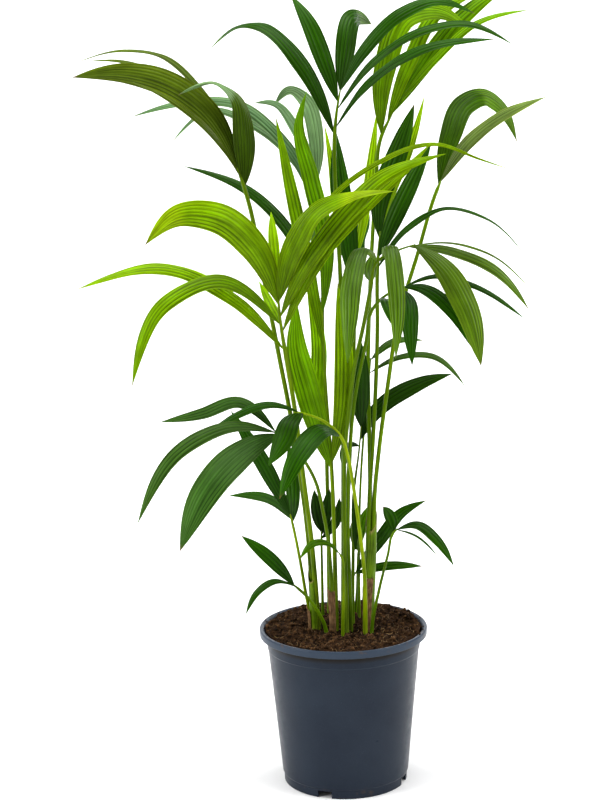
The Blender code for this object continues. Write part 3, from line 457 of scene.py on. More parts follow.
        stalk_colour=(0.17, 0.28, 0.002),
    ),
    Frond(
        "frond_bottom_right", "deep", (3.6, 1.6), (3.6, -1.0),
        stalk=[(4.5, -1.6, 25), (5.7, -2.2, 30)],
        rachis=[(6.4, -2.5, 32.8), (6.9, -2.6, 33.3)],
        leaflets=[
            Leaflet(0.8, [(9.3, -4, 34), (11.6, -5.5, 32.4), (13.5, -6.5, 29.5)], 14, 40),
            Leaflet(0.1, [(6.1, -2, 34.5), (5.2, -0.8, 35.7)], 15, 70),
            Leaflet(1, [(9.2, -1.6, 32), (11.8, -1.2, 29.4)], 6, 20),
        ],
    ),
    Frond(
        "frond_back_right", "deep", (3.0, 1.6), (0.9, 4.6),
        stalk=[(1.3, 4.8, 22.5)],
        rachis=[(1.6, 4.6, 25.4), (1.9, 4.5, 25.8)],
        leaflets=[
            Leaflet(0.8, [(4.8, 3.8, 30), (7.8, 3.4, 33.8), (10.9, 3.4, 35.3)], 17, 70),
            Leaflet(0.4, [(5.5, 3.6, 26.7), (10.3, 3.6, 26.6)], 12, 60),
        ],
    ),
    Frond(
        "frond_small_back", "mid", (3.0, 1.6), (1.8, 6.4),
        stalk=[(2, 6.4, 23)],
        rachis=[(2.2, 6.2, 27.7), (2.3, 6.2, 28.7)],
        leaflets=[
            Leaflet(1, [(2.6, 6.2, 31), (3.6, 6.2, 34)], 14, 70),
            Leaflet(0.3, [(1.9, 7.4, 29.3), (1.4, 8.4, 31.2)], 12, 60),
        ],
    ),
    Frond(
        "frond_inner_left", "deep", (3.4, 1.6), (-2.5, 5.4),
        stalk=[(-2.5, 5.4, 24.4)],
        rachis=[(-2.5, 5.2, 29.8), (-2.5, 5.2, 31.2)],
        leaflets=[
            Leaflet(1, [(-3, 4.6, 33.6), (-3.3, 4.2, 36.8)], 15, 75),
            Leaflet(0.5, [(-1.8, 5.8, 33.3), (-1.4, 5.6, 36.6)], 15, 75),
            Leaflet(0.2, [(-0.7, 5.8, 32), (-0.1, 5.8, 35.3)], 13, 75),
        ],
        look=SHADED,
    ),
]

SHEATHS = [
    Sheath("leaf_sheath_left", [(-3.5, 1.22, 0), (-3.62, 1.25, 4), (-3.85, 1.3, 9)],
           (0.74, 0.8), (-160, 160), 2.2, squeeze=0.3),
    Sheath("leaf_sheath_right", [(3.12, 0.95, 0), (3.63, 1, 10), (3.8, 1.2, 16)],
           (0.72, 0.82), (-160, 160), 2.6),
    Sheath("leaf_sheath_back", [(0.7, 5.8, 0), (0.75, 5.84, 3.4)],
           (0.44, 0.42), (-150, 150), 0.6),
    Sheath("old_sheath_left", [(-3.5, 1.22, 0), (-3.62, 1.25, 4)],
           (0.87, 0.89), (-105, -40), 1.0, old=True),
    Sheath("old_sheath_middle", [(-1, -0.15, 0), (-1.1, -0.2, 8)],
           (0.76, 0.82), (-74, 8), 1.8, old=True),
    Sheath("old_sheath_right", [(3.12, 0.95, 0), (3.6, 1, 9.5)],
           (0.88, 0.93), (-78, 22), 2.0, old=True),
]

# ---------------------------------------------------------------- paths

def smooth_path(knots, longest):
    """Points along a smooth curve through the knots, no further apart than longest."""
    knots = [Vector(knot) for knot in knots]
    spans = [(b - a).length for a, b in zip(knots, knots[1:])]
    rates = [(b - a) / span for a, b, span in zip(knots, knots[1:], spans)]
    slopes = [rates[0]]
    for i in range(1, len(rates)):
        share = spans[i] / (spans[i - 1] + spans[i])
        slopes.append(rates[i - 1] * share + rates[i] * (1 - share))
    slopes.append(rates[-1])
    if len(rates) > 1:
        slopes[0] = 1.5 * rates[0] - 0.5 * slopes[1]
        slopes[-1] = 1.5 * rates[-1] - 0.5 * slopes[-2]
    points = [knots[0]]
    for i, span in enumerate(spans):
        count = max(1, ceil(span / longest))
        for step in range(1, count + 1):
            t = step / count
            points.append(
                knots[i] * (1 + 2 * t) * (1 - t) ** 2
                + slopes[i] * span * t * (1 - t) ** 2
                + knots[i + 1] * t * t * (3 - 2 * t)
                + slopes[i + 1] * span * t * t * (t - 1)
            )
    return points


def distances(points):
    """How far along the path each of its points is."""
    along = [0.0]
    for a, b in zip(points, points[1:]):
        along.append(along[-1] + (b - a).length)
    return along


def point_at(points, share):
    """The point at a share of the path's length."""
    along = distances(points)
    target = share * along[-1]
    for i in range(len(points) - 1):
        if target <= along[i + 1]:
            part = (target - along[i]) / (along[i + 1] - along[i])
            return points[i].lerp(points[i + 1], part)
    return points[-1].copy()


def tangent_at(points, i):
    """Direction of the path at one of its points."""
    return (points[min(i + 1, len(points) - 1)] - points[max(i - 1, 0)]).normalized()


def centimetres(points):
    return [Vector(point) * CM for point in points]


def around(radius, turn, height=0.0):
    """A point on a circle round the pot's axis."""
    return Vector((radius * cos(turn), radius * sin(turn), height))


def mixed(first, second, share):
    """A colour between two others."""
    return tuple(a + (b - a) * share for a, b in zip(first, second))


def clamped(value):
    return max(0, min(1, value))


# ---------------------------------------------------------------- mesh building

class Build:
    """Collects points, faces, a colour per point and a UV per point, then makes one mesh."""

    def __init__(self):
        self.points = []
        self.faces = []
        self.colours = []
        self.uvs = []

    def grid(self, rows, colours, uvs, closed=False, flip=False):
        """A sheet of quads through rows of points, optionally closed round into a tube."""
        first = len(self.points)
        width = len(rows[0])
        for row, row_colours, row_uvs in zip(rows, colours, uvs):
            self.points.extend(row)
            self.colours.extend(row_colours)
            self.uvs.extend(row_uvs)
        for i in range(len(rows) - 1):
            for k in range(width if closed else width - 1):
                a = first + i * width + k
                b = first + i * width + (k + 1) % width
                quad = (a, b, b + width, a + width)
                self.faces.append(quad[::-1] if flip else quad)
        return first

    def cap(self, first, width, flip=False):
        """One face over a closed row of points."""
        ring = tuple(range(first, first + width))
        self.faces.append(ring[::-1] if flip else ring)

    def shell(self, top, bottom, top_colours, bottom_colours, uvs):
        """A closed sheet between two grids of the same size."""
        a = self.grid(top, top_colours, uvs)
        b = self.grid(bottom, bottom_colours, uvs, flip=True)
        wide = len(top[0])
        last = (len(top) - 1) * wide
        for i in range(len(top) - 1):
            p = i * wide
            q = p + wide - 1
            self.faces.append((a + p, a + p + wide, b + p + wide, b + p))
            self.faces.append((b + q, b + q + wide, a + q + wide, a + q))
        for k in range(wide - 1):
            self.faces.append((a + k, b + k, b + k + 1, a + k + 1))
            self.faces.append((a + last + k + 1, b + last + k + 1, b + last + k, a + last + k))

    def object(self, name, material):
        mesh = bpy.data.meshes.new(name)
        mesh.from_pydata([tuple(point) for point in self.points], [], self.faces)
        colour = mesh.color_attributes.new("tint", "FLOAT_COLOR", "POINT")
        flat = np.ones((len(self.points), 4), np.float32)
        flat[:, :3] = np.array(self.colours, np.float32)
        colour.data.foreach_set("color", flat.ravel())
        layer = mesh.uv_layers.new(name="UVMap")
        corners = np.empty(len(mesh.loops), np.int32)
        mesh.loops.foreach_get("vertex_index", corners)
        layer.data.foreach_set("uv", np.array(self.uvs, np.float32)[corners].ravel())
        mesh.materials.append(material)
        mesh.shade_smooth()
        mesh.validate()
        obj = bpy.data.objects.new(name, mesh)
        bpy.context.scene.collection.objects.link(obj)
        return obj


def place(obj, node):
    """The piece rides on the one body and stands for its CAD node, which is hidden."""
    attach(obj, "root")
    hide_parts(node)


# ---------------------------------------------------------------- materials

def rgba(colour):
    """A colour with full alpha; a lone number is a grey."""
    if isinstance(colour, (int, float)):
        colour = (colour, colour, colour)
    return (*colour, 1)


class Nodes:
    """Short hand for building a material's node tree."""

    def __init__(self, name):
        self.material = bpy.data.materials.new(name)
        self.material.use_nodes = True
        self.tree = self.material.node_tree
        self.shader = self.tree.nodes["Principled BSDF"]
        self.output = self.tree.nodes["Material Output"]

    def add(self, kind, **settings):
        node = self.tree.nodes.new(kind)
        for key, value in settings.items():
            setattr(node, key, value)
        return node

    def link(self, source, target):
        self.tree.links.new(source, target)

    def feed(self, value, socket):
        """Gives a socket its value: another socket, a number, or a colour."""
        if isinstance(value, bpy.types.NodeSocket):
            self.link(value, socket)
        elif socket.type == "RGBA":
            socket.default_value = rgba(value)
        else:
            socket.default_value = value

    def set(self, **values):
        """Feeds inputs of the main shader."""
        for key, value in values.items():
            self.feed(value, self.shader.inputs[key.replace("_", " ")])

    def tint(self):
        return self.add("ShaderNodeVertexColor", layer_name="tint").outputs["Color"]

    def uv(self, scale):
        """The UV map, stretched."""
        return self.stretch(self.add("ShaderNodeUVMap", uv_map="UVMap").outputs["UV"], scale)

    def position(self):
        return self.add("ShaderNodeTexCoord").outputs["Object"]

    def stretch(self, source, scale):
        node = self.add("ShaderNodeMapping")
        node.inputs["Scale"].default_value = scale
        self.link(source, node.inputs["Vector"])
        return node.outputs["Vector"]

    def texture(self, kind, scale, vector):
        node = self.add(kind)
        node.inputs["Scale"].default_value = scale
        self.link(vector, node.inputs["Vector"])
        return node

    def noise(self, scale, vector, detail=2.0, roughness=0.5):
        node = self.texture("ShaderNodeTexNoise", scale, vector)
        node.inputs["Detail"].default_value = detail
        node.inputs["Roughness"].default_value = roughness
        return node.outputs["Fac"]

    def ramp(self, source, low, high, low_colour, high_colour):
        """A colour, or a grey, that runs from one to the other while the source goes from low to high."""
        node = self.add("ShaderNodeValToRGB")
        stops = node.color_ramp.elements
        stops[0].position = low
        stops[1].position = high
        stops[0].color = rgba(low_colour)
        stops[1].color = rgba(high_colour)
        self.link(source, node.inputs["Fac"])
        return node.outputs["Color"]

    def mix(self, factor, first, second, blend="MIX"):
        """Mixes two colours; each is a socket or a colour."""
        node = self.add("ShaderNodeMix", data_type="RGBA", blend_type=blend)
        self.feed(factor, node.inputs[0])
        self.feed(first, node.inputs[6])
        self.feed(second, node.inputs[7])
        return node.outputs[2]

    def multiply(self, first, second):
        return self.mix(1.0, first, second, "MULTIPLY")

    def bump(self, height, strength, distance):
        node = self.add("ShaderNodeBump")
        node.inputs["Strength"].default_value = strength
        node.inputs["Distance"].default_value = distance
        self.link(height, node.inputs["Height"])
        self.set(Normal=node.outputs["Normal"])
        return node.outputs["Normal"]

    def blend_with(self, other, share):
        """The surface is shared between the main shader and another one."""
        node = self.add("ShaderNodeMixShader")
        self.feed(share, node.inputs[0])
        self.link(self.shader.outputs[0], node.inputs[1])
        self.link(other.outputs[0], node.inputs[2])
        self.link(node.outputs[0], self.output.inputs["Surface"])


def leaf_material(name, glow, gloss):
    """Ribbed leaf: the tint attribute, painted shade in the pleats' valleys, faint mottling, gloss and
    light let through.
    """
    n = Nodes(name)
    wave = n.add("ShaderNodeTexWave", wave_type="BANDS", bands_direction="X", wave_profile="SIN")
    wave.inputs["Scale"].default_value = pi / 10          # painted shade: one dark line in each pleat's valley
    wave.inputs["Distortion"].default_value = 0.0
    wave.inputs["Detail"].default_value = 0.0
    n.link(n.uv((1.0, 0.0, 0.0)), wave.inputs["Vector"])
    fibre = n.noise(1.0, n.uv((1.9, 0.22, 1.0)), detail=3.0)
    cloud = n.noise(38.0, n.position())
    # painted shade: darker in each pleat's valley, lighter on its ridge
    ribs = n.ramp(wave.outputs["Fac"], 0.35, 1.0, 0.56, 0.35)
    streaks = n.ramp(fibre, 0.32, 0.68, 0.26, 0.66)
    mottle = n.ramp(cloud, 0.35, 0.70, 0.42, 0.56)
    shade = n.mix(1.0, n.mix(1.0, ribs, streaks, "OVERLAY"), mottle, "OVERLAY")
    colour = n.multiply(n.tint(), n.mix(1.0, shade, shade, "ADD"))
    n.set(Base_Color=colour, Roughness=0.34, Specular_IOR_Level=gloss, Specular_Tint=(0.75, 1.0, 0.55))
    through = n.add("ShaderNodeBsdfTranslucent")
    n.feed(n.multiply(colour, (1.35, 1.25, 0.35)), through.inputs["Color"])
    n.feed(n.bump(fibre, 0.35, 0.6 * MM), through.inputs["Normal"])
    n.blend_with(through, glow)
    return n.material


def stalk_material():
    """Smooth green stalk with lengthwise streaks."""
    n = Nodes("stalk_green")
    streak = n.noise(1.0, n.uv((7.0, 1.2, 1.0)), detail=4.0)
    shade = n.ramp(streak, 0.30, 0.70, (0.30, 0.38, 0.30), (1.32, 1.22, 1.30))
    n.set(Base_Color=n.multiply(n.tint(), shade))
    n.set(Roughness=0.40, Specular_IOR_Level=0.11, Specular_Tint=(0.8, 1.0, 0.4))
    n.bump(streak, 0.3, 0.5 * MM)
    return n.material


def sheath_material(name, roughness, dark, stretch, patchy):
    """Leaf base: fibres run along it, its colour comes from the tint attribute."""
    n = Nodes(name)
    fibre = n.noise(1.0, n.uv(stretch), detail=6.0)
    shade = n.ramp(fibre, 0.32, 0.68, dark, 1.30)
    patches = n.ramp(n.noise(160.0, n.position()), 0.35, 0.65, patchy, 1.12)
    n.set(Base_Color=n.multiply(n.multiply(n.tint(), shade), patches))
    n.set(Roughness=roughness, Specular_IOR_Level=0.18, Specular_Tint=(0.9, 1.0, 0.6))
    n.bump(fibre, 0.7, 1.2 * MM)
    return n.material


def pot_material():
    """Slate blue-grey moulded plastic with a fine speckle, dust, and soil smears near the rim and foot.

    The tint attribute marks the painted shade in the groove under the rim in red and the rim band in green.
    """
    n = Nodes("pot_plastic")
    spot = n.position()
    base = n.ramp(n.noise(14.0, spot, detail=5.0), 0.3, 0.7, (0.010, 0.016, 0.028), (0.015, 0.023, 0.037))
    specks = n.ramp(n.noise(1400.0, spot), 0.66, 0.74, 0, 0.45)
    specked = n.mix(specks, base, (0.06, 0.08, 0.11))
    height = n.add("ShaderNodeSeparateXYZ")
    n.link(spot, height.inputs[0])
    near_rim = n.ramp(height.outputs["Z"], POT_HEIGHT - 0.020, POT_HEIGHT - 0.002, 0, 1)
    near_foot = n.ramp(height.outputs["Z"], 0.0, 0.016, 0.8, 0)
    smear = n.noise(75.0, spot, detail=9.0, roughness=0.7)
    dirt = n.multiply(n.ramp(smear, 0.56, 0.70, 0, 0.8), n.mix(1.0, near_rim, near_foot, "ADD"))
    zones = n.add("ShaderNodeSeparateColor")
    n.link(n.tint(), zones.inputs["Color"])
    soiled = n.mix(zones.outputs["Green"], n.mix(dirt, specked, DIRT), n.mix(dirt, RIM_BLUE, DIRT))
    # painted shade: the groove under the rim is darkened where the tint's red marks it
    n.set(Base_Color=n.mix(zones.outputs["Red"], soiled, (0.010, 0.008, 0.006)))
    n.set(Roughness=n.ramp(smear, 0.3, 0.75, 0.27, 0.46), Specular_IOR_Level=0.12)
    n.bump(n.noise(700.0, spot), 0.12, 0.4 * MM)
    return n.material


def soil_material(name, dark, light, pale_from):
    """Peat: dark and lighter browns, with pale fibres and a few black grains."""
    n = Nodes(name)
    spot = n.position()
    lumps = n.noise(170.0, spot, detail=8.0, roughness=0.65)
    grains = n.texture("ShaderNodeTexVoronoi", 620.0, spot)
    fibres = n.noise(260.0, n.stretch(spot, (1.0, 0.22, 1.0)), detail=4.0)
    base = n.ramp(lumps, 0.34, 0.68, dark, light)
    black = tuple(0.5 * part for part in dark)
    grained = n.mix(n.ramp(grains.outputs["Distance"], 0.05, 0.55, 0.75, 0), base, black)
    straw = n.ramp(fibres, pale_from, pale_from + 0.05, 0, 0.8)
    n.set(Base_Color=n.multiply(n.mix(straw, grained, PALE_PEAT), n.tint()))
    n.set(Roughness=0.95, Specular_IOR_Level=0.08)
    n.bump(lumps, 0.8, 3 * MM)
    return n.material


def straw_material():
    """Dull fibres, their colour from the tint attribute."""
    n = Nodes("soil_straw")
    grain = n.noise(900.0, n.position())
    n.set(Base_Color=n.multiply(n.tint(), n.ramp(grain, 0.3, 0.7, 0.6, 1.2)), Roughness=0.85)
    n.bump(grain, 0.4, 0.6 * MM)
    return n.material


# ---------------------------------------------------------------- fronds

def blade_width(share, width):
    """Width of a blade: narrow where it joins the rachis, widest before its middle, then tapered."""
    swell = 1 - abs(2 * share ** BLADE_LEAN - 1) ** BLADE_POWER
    return max(BLADE_TIP, width * swell)


def blade_axes(tangent, face, twist):
    """Directions across a blade and out of its upper side."""
    up = Vector((0, -sin(radians(face)), cos(radians(face))))
    up = (up - tangent * up.dot(tangent)).normalized()
    side = tangent.cross(up)
    turn = radians(twist)
    return side * cos(turn) + up * sin(turn), up * cos(turn) - side * sin(turn)


def varied(colour, random, spread):
    """The colour a little lighter or darker and a little more yellow or blue."""
    light = 1 + random.uniform(-spread, spread)
    warm = random.uniform(-spread, spread) * 0.6
    return (colour[0] * light * (1 + warm), colour[1] * light, colour[2] * light * (1 - warm))


def add_blade(build, leaflet, start, look, random):
    """One pleated leaflet with a folded midline; painted shade at its foot, painted light towards its tip,
    and a tip that can take its under side's paler colour, partly painted sheen.
    """
    midline = smooth_path([start] + centimetres(leaflet.midline), BLADE_STEP)
    along = distances(midline)
    width = leaflet.width * MM
    ribs = max(3, round(width / RIB_PITCH))
    columns = min(4 * ribs, BLADE_COLUMNS)
    upper = varied(look[0], random, UPPER_SPREAD)
    under = varied(look[1], random, UNDER_SPREAD)
    edge = (upper[0] * 1.35, upper[1] * 1.15, upper[2])
    phase = random.uniform(0, 2 * pi)
    ripple = random.uniform(0.5, 1.1) * MM * min(1, width / 0.03)
    brown_tip = random.random() < BROWN_TIPS
    top, bottom, top_colours, bottom_colours, uvs = [], [], [], [], []
    for i, point in enumerate(midline):
        share = along[i] / along[-1]
        side, up = blade_axes(tangent_at(midline, i), leaflet.face, leaflet.twist * share)
        span = blade_width(share, width)
        fullness = span / width
        half = up * (BLADE_THICKNESS / 2 * (0.25 + 0.75 * min(1, 4 * fullness)))
        # painted shade at the blade's foot, painted light towards its tip
        light = FOOT_PAINTED_SHADE + TIP_PAINTED_LIGHT * share
        # painted sheen: from the given share the tip's upper side takes the paler under-side colour, also
        # standing for an under side turned to view
        sheen_and_underside = clamped((share - leaflet.sheen_and_underside) * SHEEN_AND_UNDERSIDE_SHARPNESS)
        brown = clamped((share - BROWN_FROM) / (1 - BROWN_FROM)) if brown_tip else 0
        middles, colours = [], []
        for k in range(columns + 1):
            u = 2 * k / columns - 1
            fold = span * BLADE_FOLD * (1 - abs(u) ** 1.3)
            pleat = RIB_HEIGHT * fullness * cos(2 * pi * ribs * k / columns)
            wave = ripple * fullness * u * u * sin(2 * pi * along[i] / RIPPLE_LENGTH + phase + u)
            middles.append(point + side * (u * span / 2) + up * (fold + pleat + wave))
            shade = tuple(light * part for part in mixed(upper, edge, abs(u) ** 3 * 0.6))
            colours.append(mixed(mixed(shade, under, sheen_and_underside), TIP_BROWN, brown))
        top.append([middle + half for middle in middles])
        bottom.append([middle - half for middle in middles])
        top_colours.append(colours)
        bottom_colours.append([mixed(under, TIP_BROWN, brown)] * (columns + 1))
        uvs.append([(ribs * k / columns, along[i] / 0.02) for k in range(columns + 1)])
    build.shell(top, bottom, top_colours, bottom_colours, uvs)


def stalk_knots(frond):
    """Knots from inside the soil, up the stalk, to the end of the rachis."""
    x, y = frond.foot
    foot = [Vector((x * CM, y * CM, SOIL_TOP - ROOT_DEPTH)),
            Vector((x * CM, y * CM, SOIL_TOP + 5 * MM))]
    return foot + centimetres(frond.stalk) + centimetres(frond.rachis)


def add_tube(build, points, radius_of, colour_of, sides):
    """A tube along the points, closed at both ends."""
    along = distances(points)
    side = Vector((1, 0, 0))
    rings, colours, uvs = [], [], []
    for i, point in enumerate(points):
        tangent = tangent_at(points, i)
        side = (side - tangent * side.dot(tangent)).normalized()
        other = tangent.cross(side)
        share = along[i] / along[-1]
        radius = radius_of(share)
        turns = [2 * pi * k / sides for k in range(sides)]
        rings.append([point + side * (radius * cos(turn)) + other * (radius * sin(turn)) for turn in turns])
        colours.append([colour_of(share)] * sides)
        uvs.append([(k / sides * 2, along[i] / 0.05) for k in range(sides)])
    first = build.grid(rings, colours, uvs, closed=True)
    build.cap(first, sides, flip=True)
    build.cap(first + (len(rings) - 1) * sides, sides)


def make_frond(frond, leaf_materials, stalk_finish, random):
    """Two pieces: the stalk with its rachis, and the leaflets."""
    tone = TONES[frond.tone]
    points = smooth_path(stalk_knots(frond), STALK_STEP)
    length = distances(points)[-1]
    crown = Vector(frond.rachis[0]) * CM
    first = min(range(len(points)), key=lambda i: (points[i] - crown).length)
    rachis = points[first:]
    rachis_length = distances(rachis)[-1]
    joint = 1 - rachis_length / length
    base, tip = frond.diameters
    stalk_tint = varied(frond.stalk_colour or tone.stalk, random, 0.08)
    foot_tint = mixed(stalk_tint, FOOT_PALE, 0.5)

    def radius_of(share):
        if share < joint:
            size = 1 - JOINT_TAPER * share / joint
        else:
            size = 1 - JOINT_TAPER + (tip / base - 1 + JOINT_TAPER) * (share - joint) / (1 - joint)
        swelling = FOOT_SWELL * max(0, 1 - share * length / SWELL_LENGTH) ** 1.5
        return base * MM * (size * STALK_BOOST / 2 + swelling)

    def colour_of(share):
        return mixed(foot_tint, stalk_tint, clamped(share / PALE_FOOT))

    stem = Build()
    add_tube(stem, points, radius_of, colour_of, STALK_SIDES)
    place(stem.object(frond.name + "_stalk", stalk_finish), frond.name)
    leaves = Build()
    last = 1 - BLADE_INSET / rachis_length
    for leaflet in frond.leaflets:
        start = point_at(rachis, min(leaflet.start, last))
        add_blade(leaves, leaflet, start, leaflet.look or frond.look or tone.look, random)
    place(leaves.object(frond.name + "_leaflets", leaf_materials[frond.tone]), frond.name)


# ---------------------------------------------------------------- sheaths

def make_sheath(sheath, material):
    """A thin sleeve of leaf base, open along one side, its top cut off on a slant and ragged."""
    axis = smooth_path(centimetres(sheath.axis), SHEATH_STEP)
    along = distances(axis)
    floor = Vector((0, 0, SOIL_TOP - SHEATH_SINK))
    seed = len(sheath.name)
    tatters, bumps = (0.45, 0.7 * MM) if sheath.old else (0.12, 0.12 * MM)
    inner, outer, colours, uvs = [], [], [], []
    for i, point in enumerate(axis):
        share = along[i] / along[-1]
        radius = (sheath.radii[0] + (sheath.radii[1] - sheath.radii[0]) * share) * CM
        radius *= 0.93 if sheath.old else 0.90 - 0.10 * share
        if sheath.old:
            radius += MM * share ** 5       # its torn top curls outwards
        squeeze = 1 - sheath.squeeze * share
        inner_row, outer_row, colour_row = [], [], []
        for k in range(SHEATH_COLUMNS + 1):
            turn = radians(sheath.arc[0] + (sheath.arc[1] - sheath.arc[0]) * k / SHEATH_COLUMNS)
            way = Vector((squeeze * sin(turn), -cos(turn), 0))
            slant = 0.5 - 0.5 * cos(turn - HIGH_SIDE)
            ragged = 0.5 + 0.5 * noise.noise(Vector((k * 0.33, seed * 1.7, 0)))
            ragged += 0.3 * noise.noise(Vector((k * 1.1, 5.0, seed)))
            drop = sheath.tear * CM * share ** 2 * (1.1 * slant + tatters * ragged)
            rough = noise.noise(Vector((k * 0.4, share * 8, 3.1 + seed))) * bumps
            spot = floor + point - Vector((0, 0, drop))
            inner_row.append(spot + way * (radius + rough))
            outer_row.append(spot + way * (radius + SHEATH_THICKNESS + rough))
            if sheath.old:
                patch = 0.5 + 0.5 * noise.noise(Vector((k * 0.3, share * 6, 8.0)))
                colour = mixed(BROWN_HUSK, PALE_HUSK, clamped(patch * 1.6 - 0.4))
            else:
                colour = mixed(GREEN_SHEATH, PALE_HUSK, max(0, share - 0.94) / 0.12)
                colour = mixed(colour, GREEN_SHEATH_FOOT, max(0, 1 - share * 8) * 0.8)
            colour_row.append(colour)
        inner.append(inner_row)
        outer.append(outer_row)
        colours.append(colour_row)
        uvs.append([(k / SHEATH_COLUMNS * 3, along[i] / 0.03) for k in range(SHEATH_COLUMNS + 1)])
    build = Build()
    build.shell(outer, inner, colours, colours, uvs)
    sleeve = build.object(sheath.name + "_skin", material)
    place(sleeve, sheath.name)


# ---------------------------------------------------------------- pot

def pot_profile():
    """Radius and height from the middle of the inside floor, over the rim, to the ground."""
    return [
        (0.0, WALL),
        (PAD_RADIUS - 0.002, WALL),
        (PAD_RADIUS + 0.004, FLOOR_LEVEL + WALL),
        (FOOT_RADIUS - 0.007, FLOOR_LEVEL + WALL),
        (FOOT_RADIUS - 0.002, FLOOR_LEVEL + 0.004),
        (NECK_RADIUS - WALL - 2 * STEP_DEPTH, POT_HEIGHT - STEP_DROP),
        (NECK_RADIUS - WALL, POT_HEIGHT - NECK_DROP),
        (NECK_RADIUS + 0.0008, POT_HEIGHT - 0.005),
        (NECK_RADIUS + 0.0035, POT_HEIGHT - 0.001),
        (RIM_RADIUS - 0.0012, POT_HEIGHT),
        (RIM_RADIUS, POT_HEIGHT - 0.0015),
        (RIM_RADIUS - 0.0004, POT_HEIGHT - RIM_BAND),
        (RIM_RADIUS - BAND_WALL, POT_HEIGHT - RIM_BAND),
        (RIM_RADIUS - BAND_WALL, POT_HEIGHT - 0.0032),
        (NECK_RADIUS + 0.004, POT_HEIGHT - 0.0042),
        (NECK_RADIUS + 0.0018, POT_HEIGHT - 0.0075),
        (NECK_RADIUS, POT_HEIGHT - NECK_DROP),
        (NECK_RADIUS - 0.0002, POT_HEIGHT - 0.0155),
        (NECK_RADIUS - 0.0005, POT_HEIGHT - 0.0190),
        (NECK_RADIUS - STEP_DEPTH, POT_HEIGHT - STEP_DROP + 0.0005),
        (NECK_RADIUS - 2 * STEP_DEPTH, POT_HEIGHT - STEP_DROP - 0.0005),
        (FOOT_RADIUS + 0.0018, SKIRT_HEIGHT + 0.0015),
        (FOOT_RADIUS + 0.0004, SKIRT_HEIGHT),
        (FOOT_RADIUS, 0.0),
        (FOOT_RADIUS - 0.0024, 0.0),
        (FOOT_RADIUS - 0.0032, FLOOR_LEVEL),
        (PAD_RADIUS + 0.006, FLOOR_LEVEL),
        (PAD_RADIUS, 0.0),
        (0.0, 0.0),
    ]


def rounded(profile, radius, steps):
    """The profile with each inner corner replaced by a short arc-like curve."""
    result = [profile[0]]
    for before, corner, after in zip(profile, profile[1:], profile[2:]):
        corner = Vector(corner)
        back = Vector(before) - corner
        on = Vector(after) - corner
        reach = min(radius, back.length * 0.45, on.length * 0.45)
        start = corner + back.normalized() * reach
        end = corner + on.normalized() * reach
        for step in range(steps + 1):
            t = step / steps
            result.append(tuple(start * (1 - t) ** 2 + corner * 2 * t * (1 - t) + end * t * t))
    result.append(profile[-1])
    return result


def pot_cutters():
    """Blocks for the notches in the foot skirt and rods for the drain holes."""
    cutters = []
    for i in range(NOTCH_COUNT):
        turn = NOTCH_TURN + i * 2 * pi / NOTCH_COUNT
        bpy.ops.mesh.primitive_cube_add(
            size=1,
            location=(FOOT_RADIUS * sin(turn), -FOOT_RADIUS * cos(turn), NOTCH_HEIGHT / 2 - MM),
            rotation=(0, 0, turn),
            scale=(NOTCH_WIDTH, NOTCH_REACH, NOTCH_HEIGHT + 2 * MM),
        )
        cutters.append(bpy.context.object)
    for i in range(DRAIN_COUNT):
        turn = NOTCH_TURN + (i + 0.5) * 2 * pi / DRAIN_COUNT
        bpy.ops.mesh.primitive_cylinder_add(
            vertices=32,
            radius=DRAIN_RADIUS,
            depth=0.02,
            location=(DRAIN_CIRCLE * sin(turn), -DRAIN_CIRCLE * cos(turn), FLOOR_LEVEL),
        )
        cutters.append(bpy.context.object)
    return cutters


def mark_zones(mesh):
    """The tint attribute for the pot's material: painted shade of the groove under the rim in red, rim band
    in green.
    """
    colour = mesh.color_attributes.new("tint", "FLOAT_COLOR", "POINT")
    for vertex, entry in zip(mesh.vertices, colour.data):
        radius = vertex.co.xy.length
        drop = POT_HEIGHT - vertex.co.z
        in_shaded_groove = radius < NECK_RADIUS + 0.006 and GROOVE_SHADE_DROPS[0] < drop < GROOVE_SHADE_DROPS[1]
        shade = clamped((GROOVE_SHADE_DROPS[1] + 0.0005 - drop) / 0.005) if in_shaded_groove else 0
        on_rim = radius > NECK_RADIUS + 0.001 and drop < RIM_BAND + 0.001
        entry.color = (shade, 1 if on_rim else 0, 0, 1)


def make_pot():
    """A turned shell with the notches and drain holes cut out of it."""
    profile = rounded(pot_profile(), 0.7 * MM, 3)
    mesh = bpy.data.meshes.new("pot_shell")
    edges = [(i, i + 1) for i in range(len(profile) - 1)]
    mesh.from_pydata([(radius, 0.0, height) for radius, height in profile], edges, [])
    pot = bpy.data.objects.new("pot_shell", mesh)
    bpy.context.scene.collection.objects.link(pot)
    screw = pot.modifiers.new("turn", "SCREW")
    screw.axis = "Z"
    screw.steps = POT_SIDES
    screw.render_steps = POT_SIDES
    screw.use_merge_vertices = True
    screw.merge_threshold = 0.01 * MM
    cutters = pot_cutters()
    for cutter in cutters:
        cut = pot.modifiers.new("cut", "BOOLEAN")
        cut.operation = "DIFFERENCE"
        cut.object = cutter
        cut.solver = "EXACT"
    bpy.context.view_layer.update()
    evaluated = pot.evaluated_get(bpy.context.evaluated_depsgraph_get())
    solid = bpy.data.meshes.new_from_object(evaluated)
    pot.modifiers.clear()
    pot.data = solid
    for cutter in cutters:
        bpy.data.objects.remove(cutter, do_unlink=True)
    solid.materials.clear()
    solid.materials.append(pot_material())
    mark_zones(solid)
    solid.shade_smooth()
    solid.set_sharp_from_angle(angle=radians(35))
    place(pot, "pot")


# ---------------------------------------------------------------- soil

def nearness(spot, middle, reach):
    """1 at the middle, falling to 0 at the reach."""
    return max(0, 1 - hypot(spot.x - middle[0], spot.y - middle[1]) / reach)


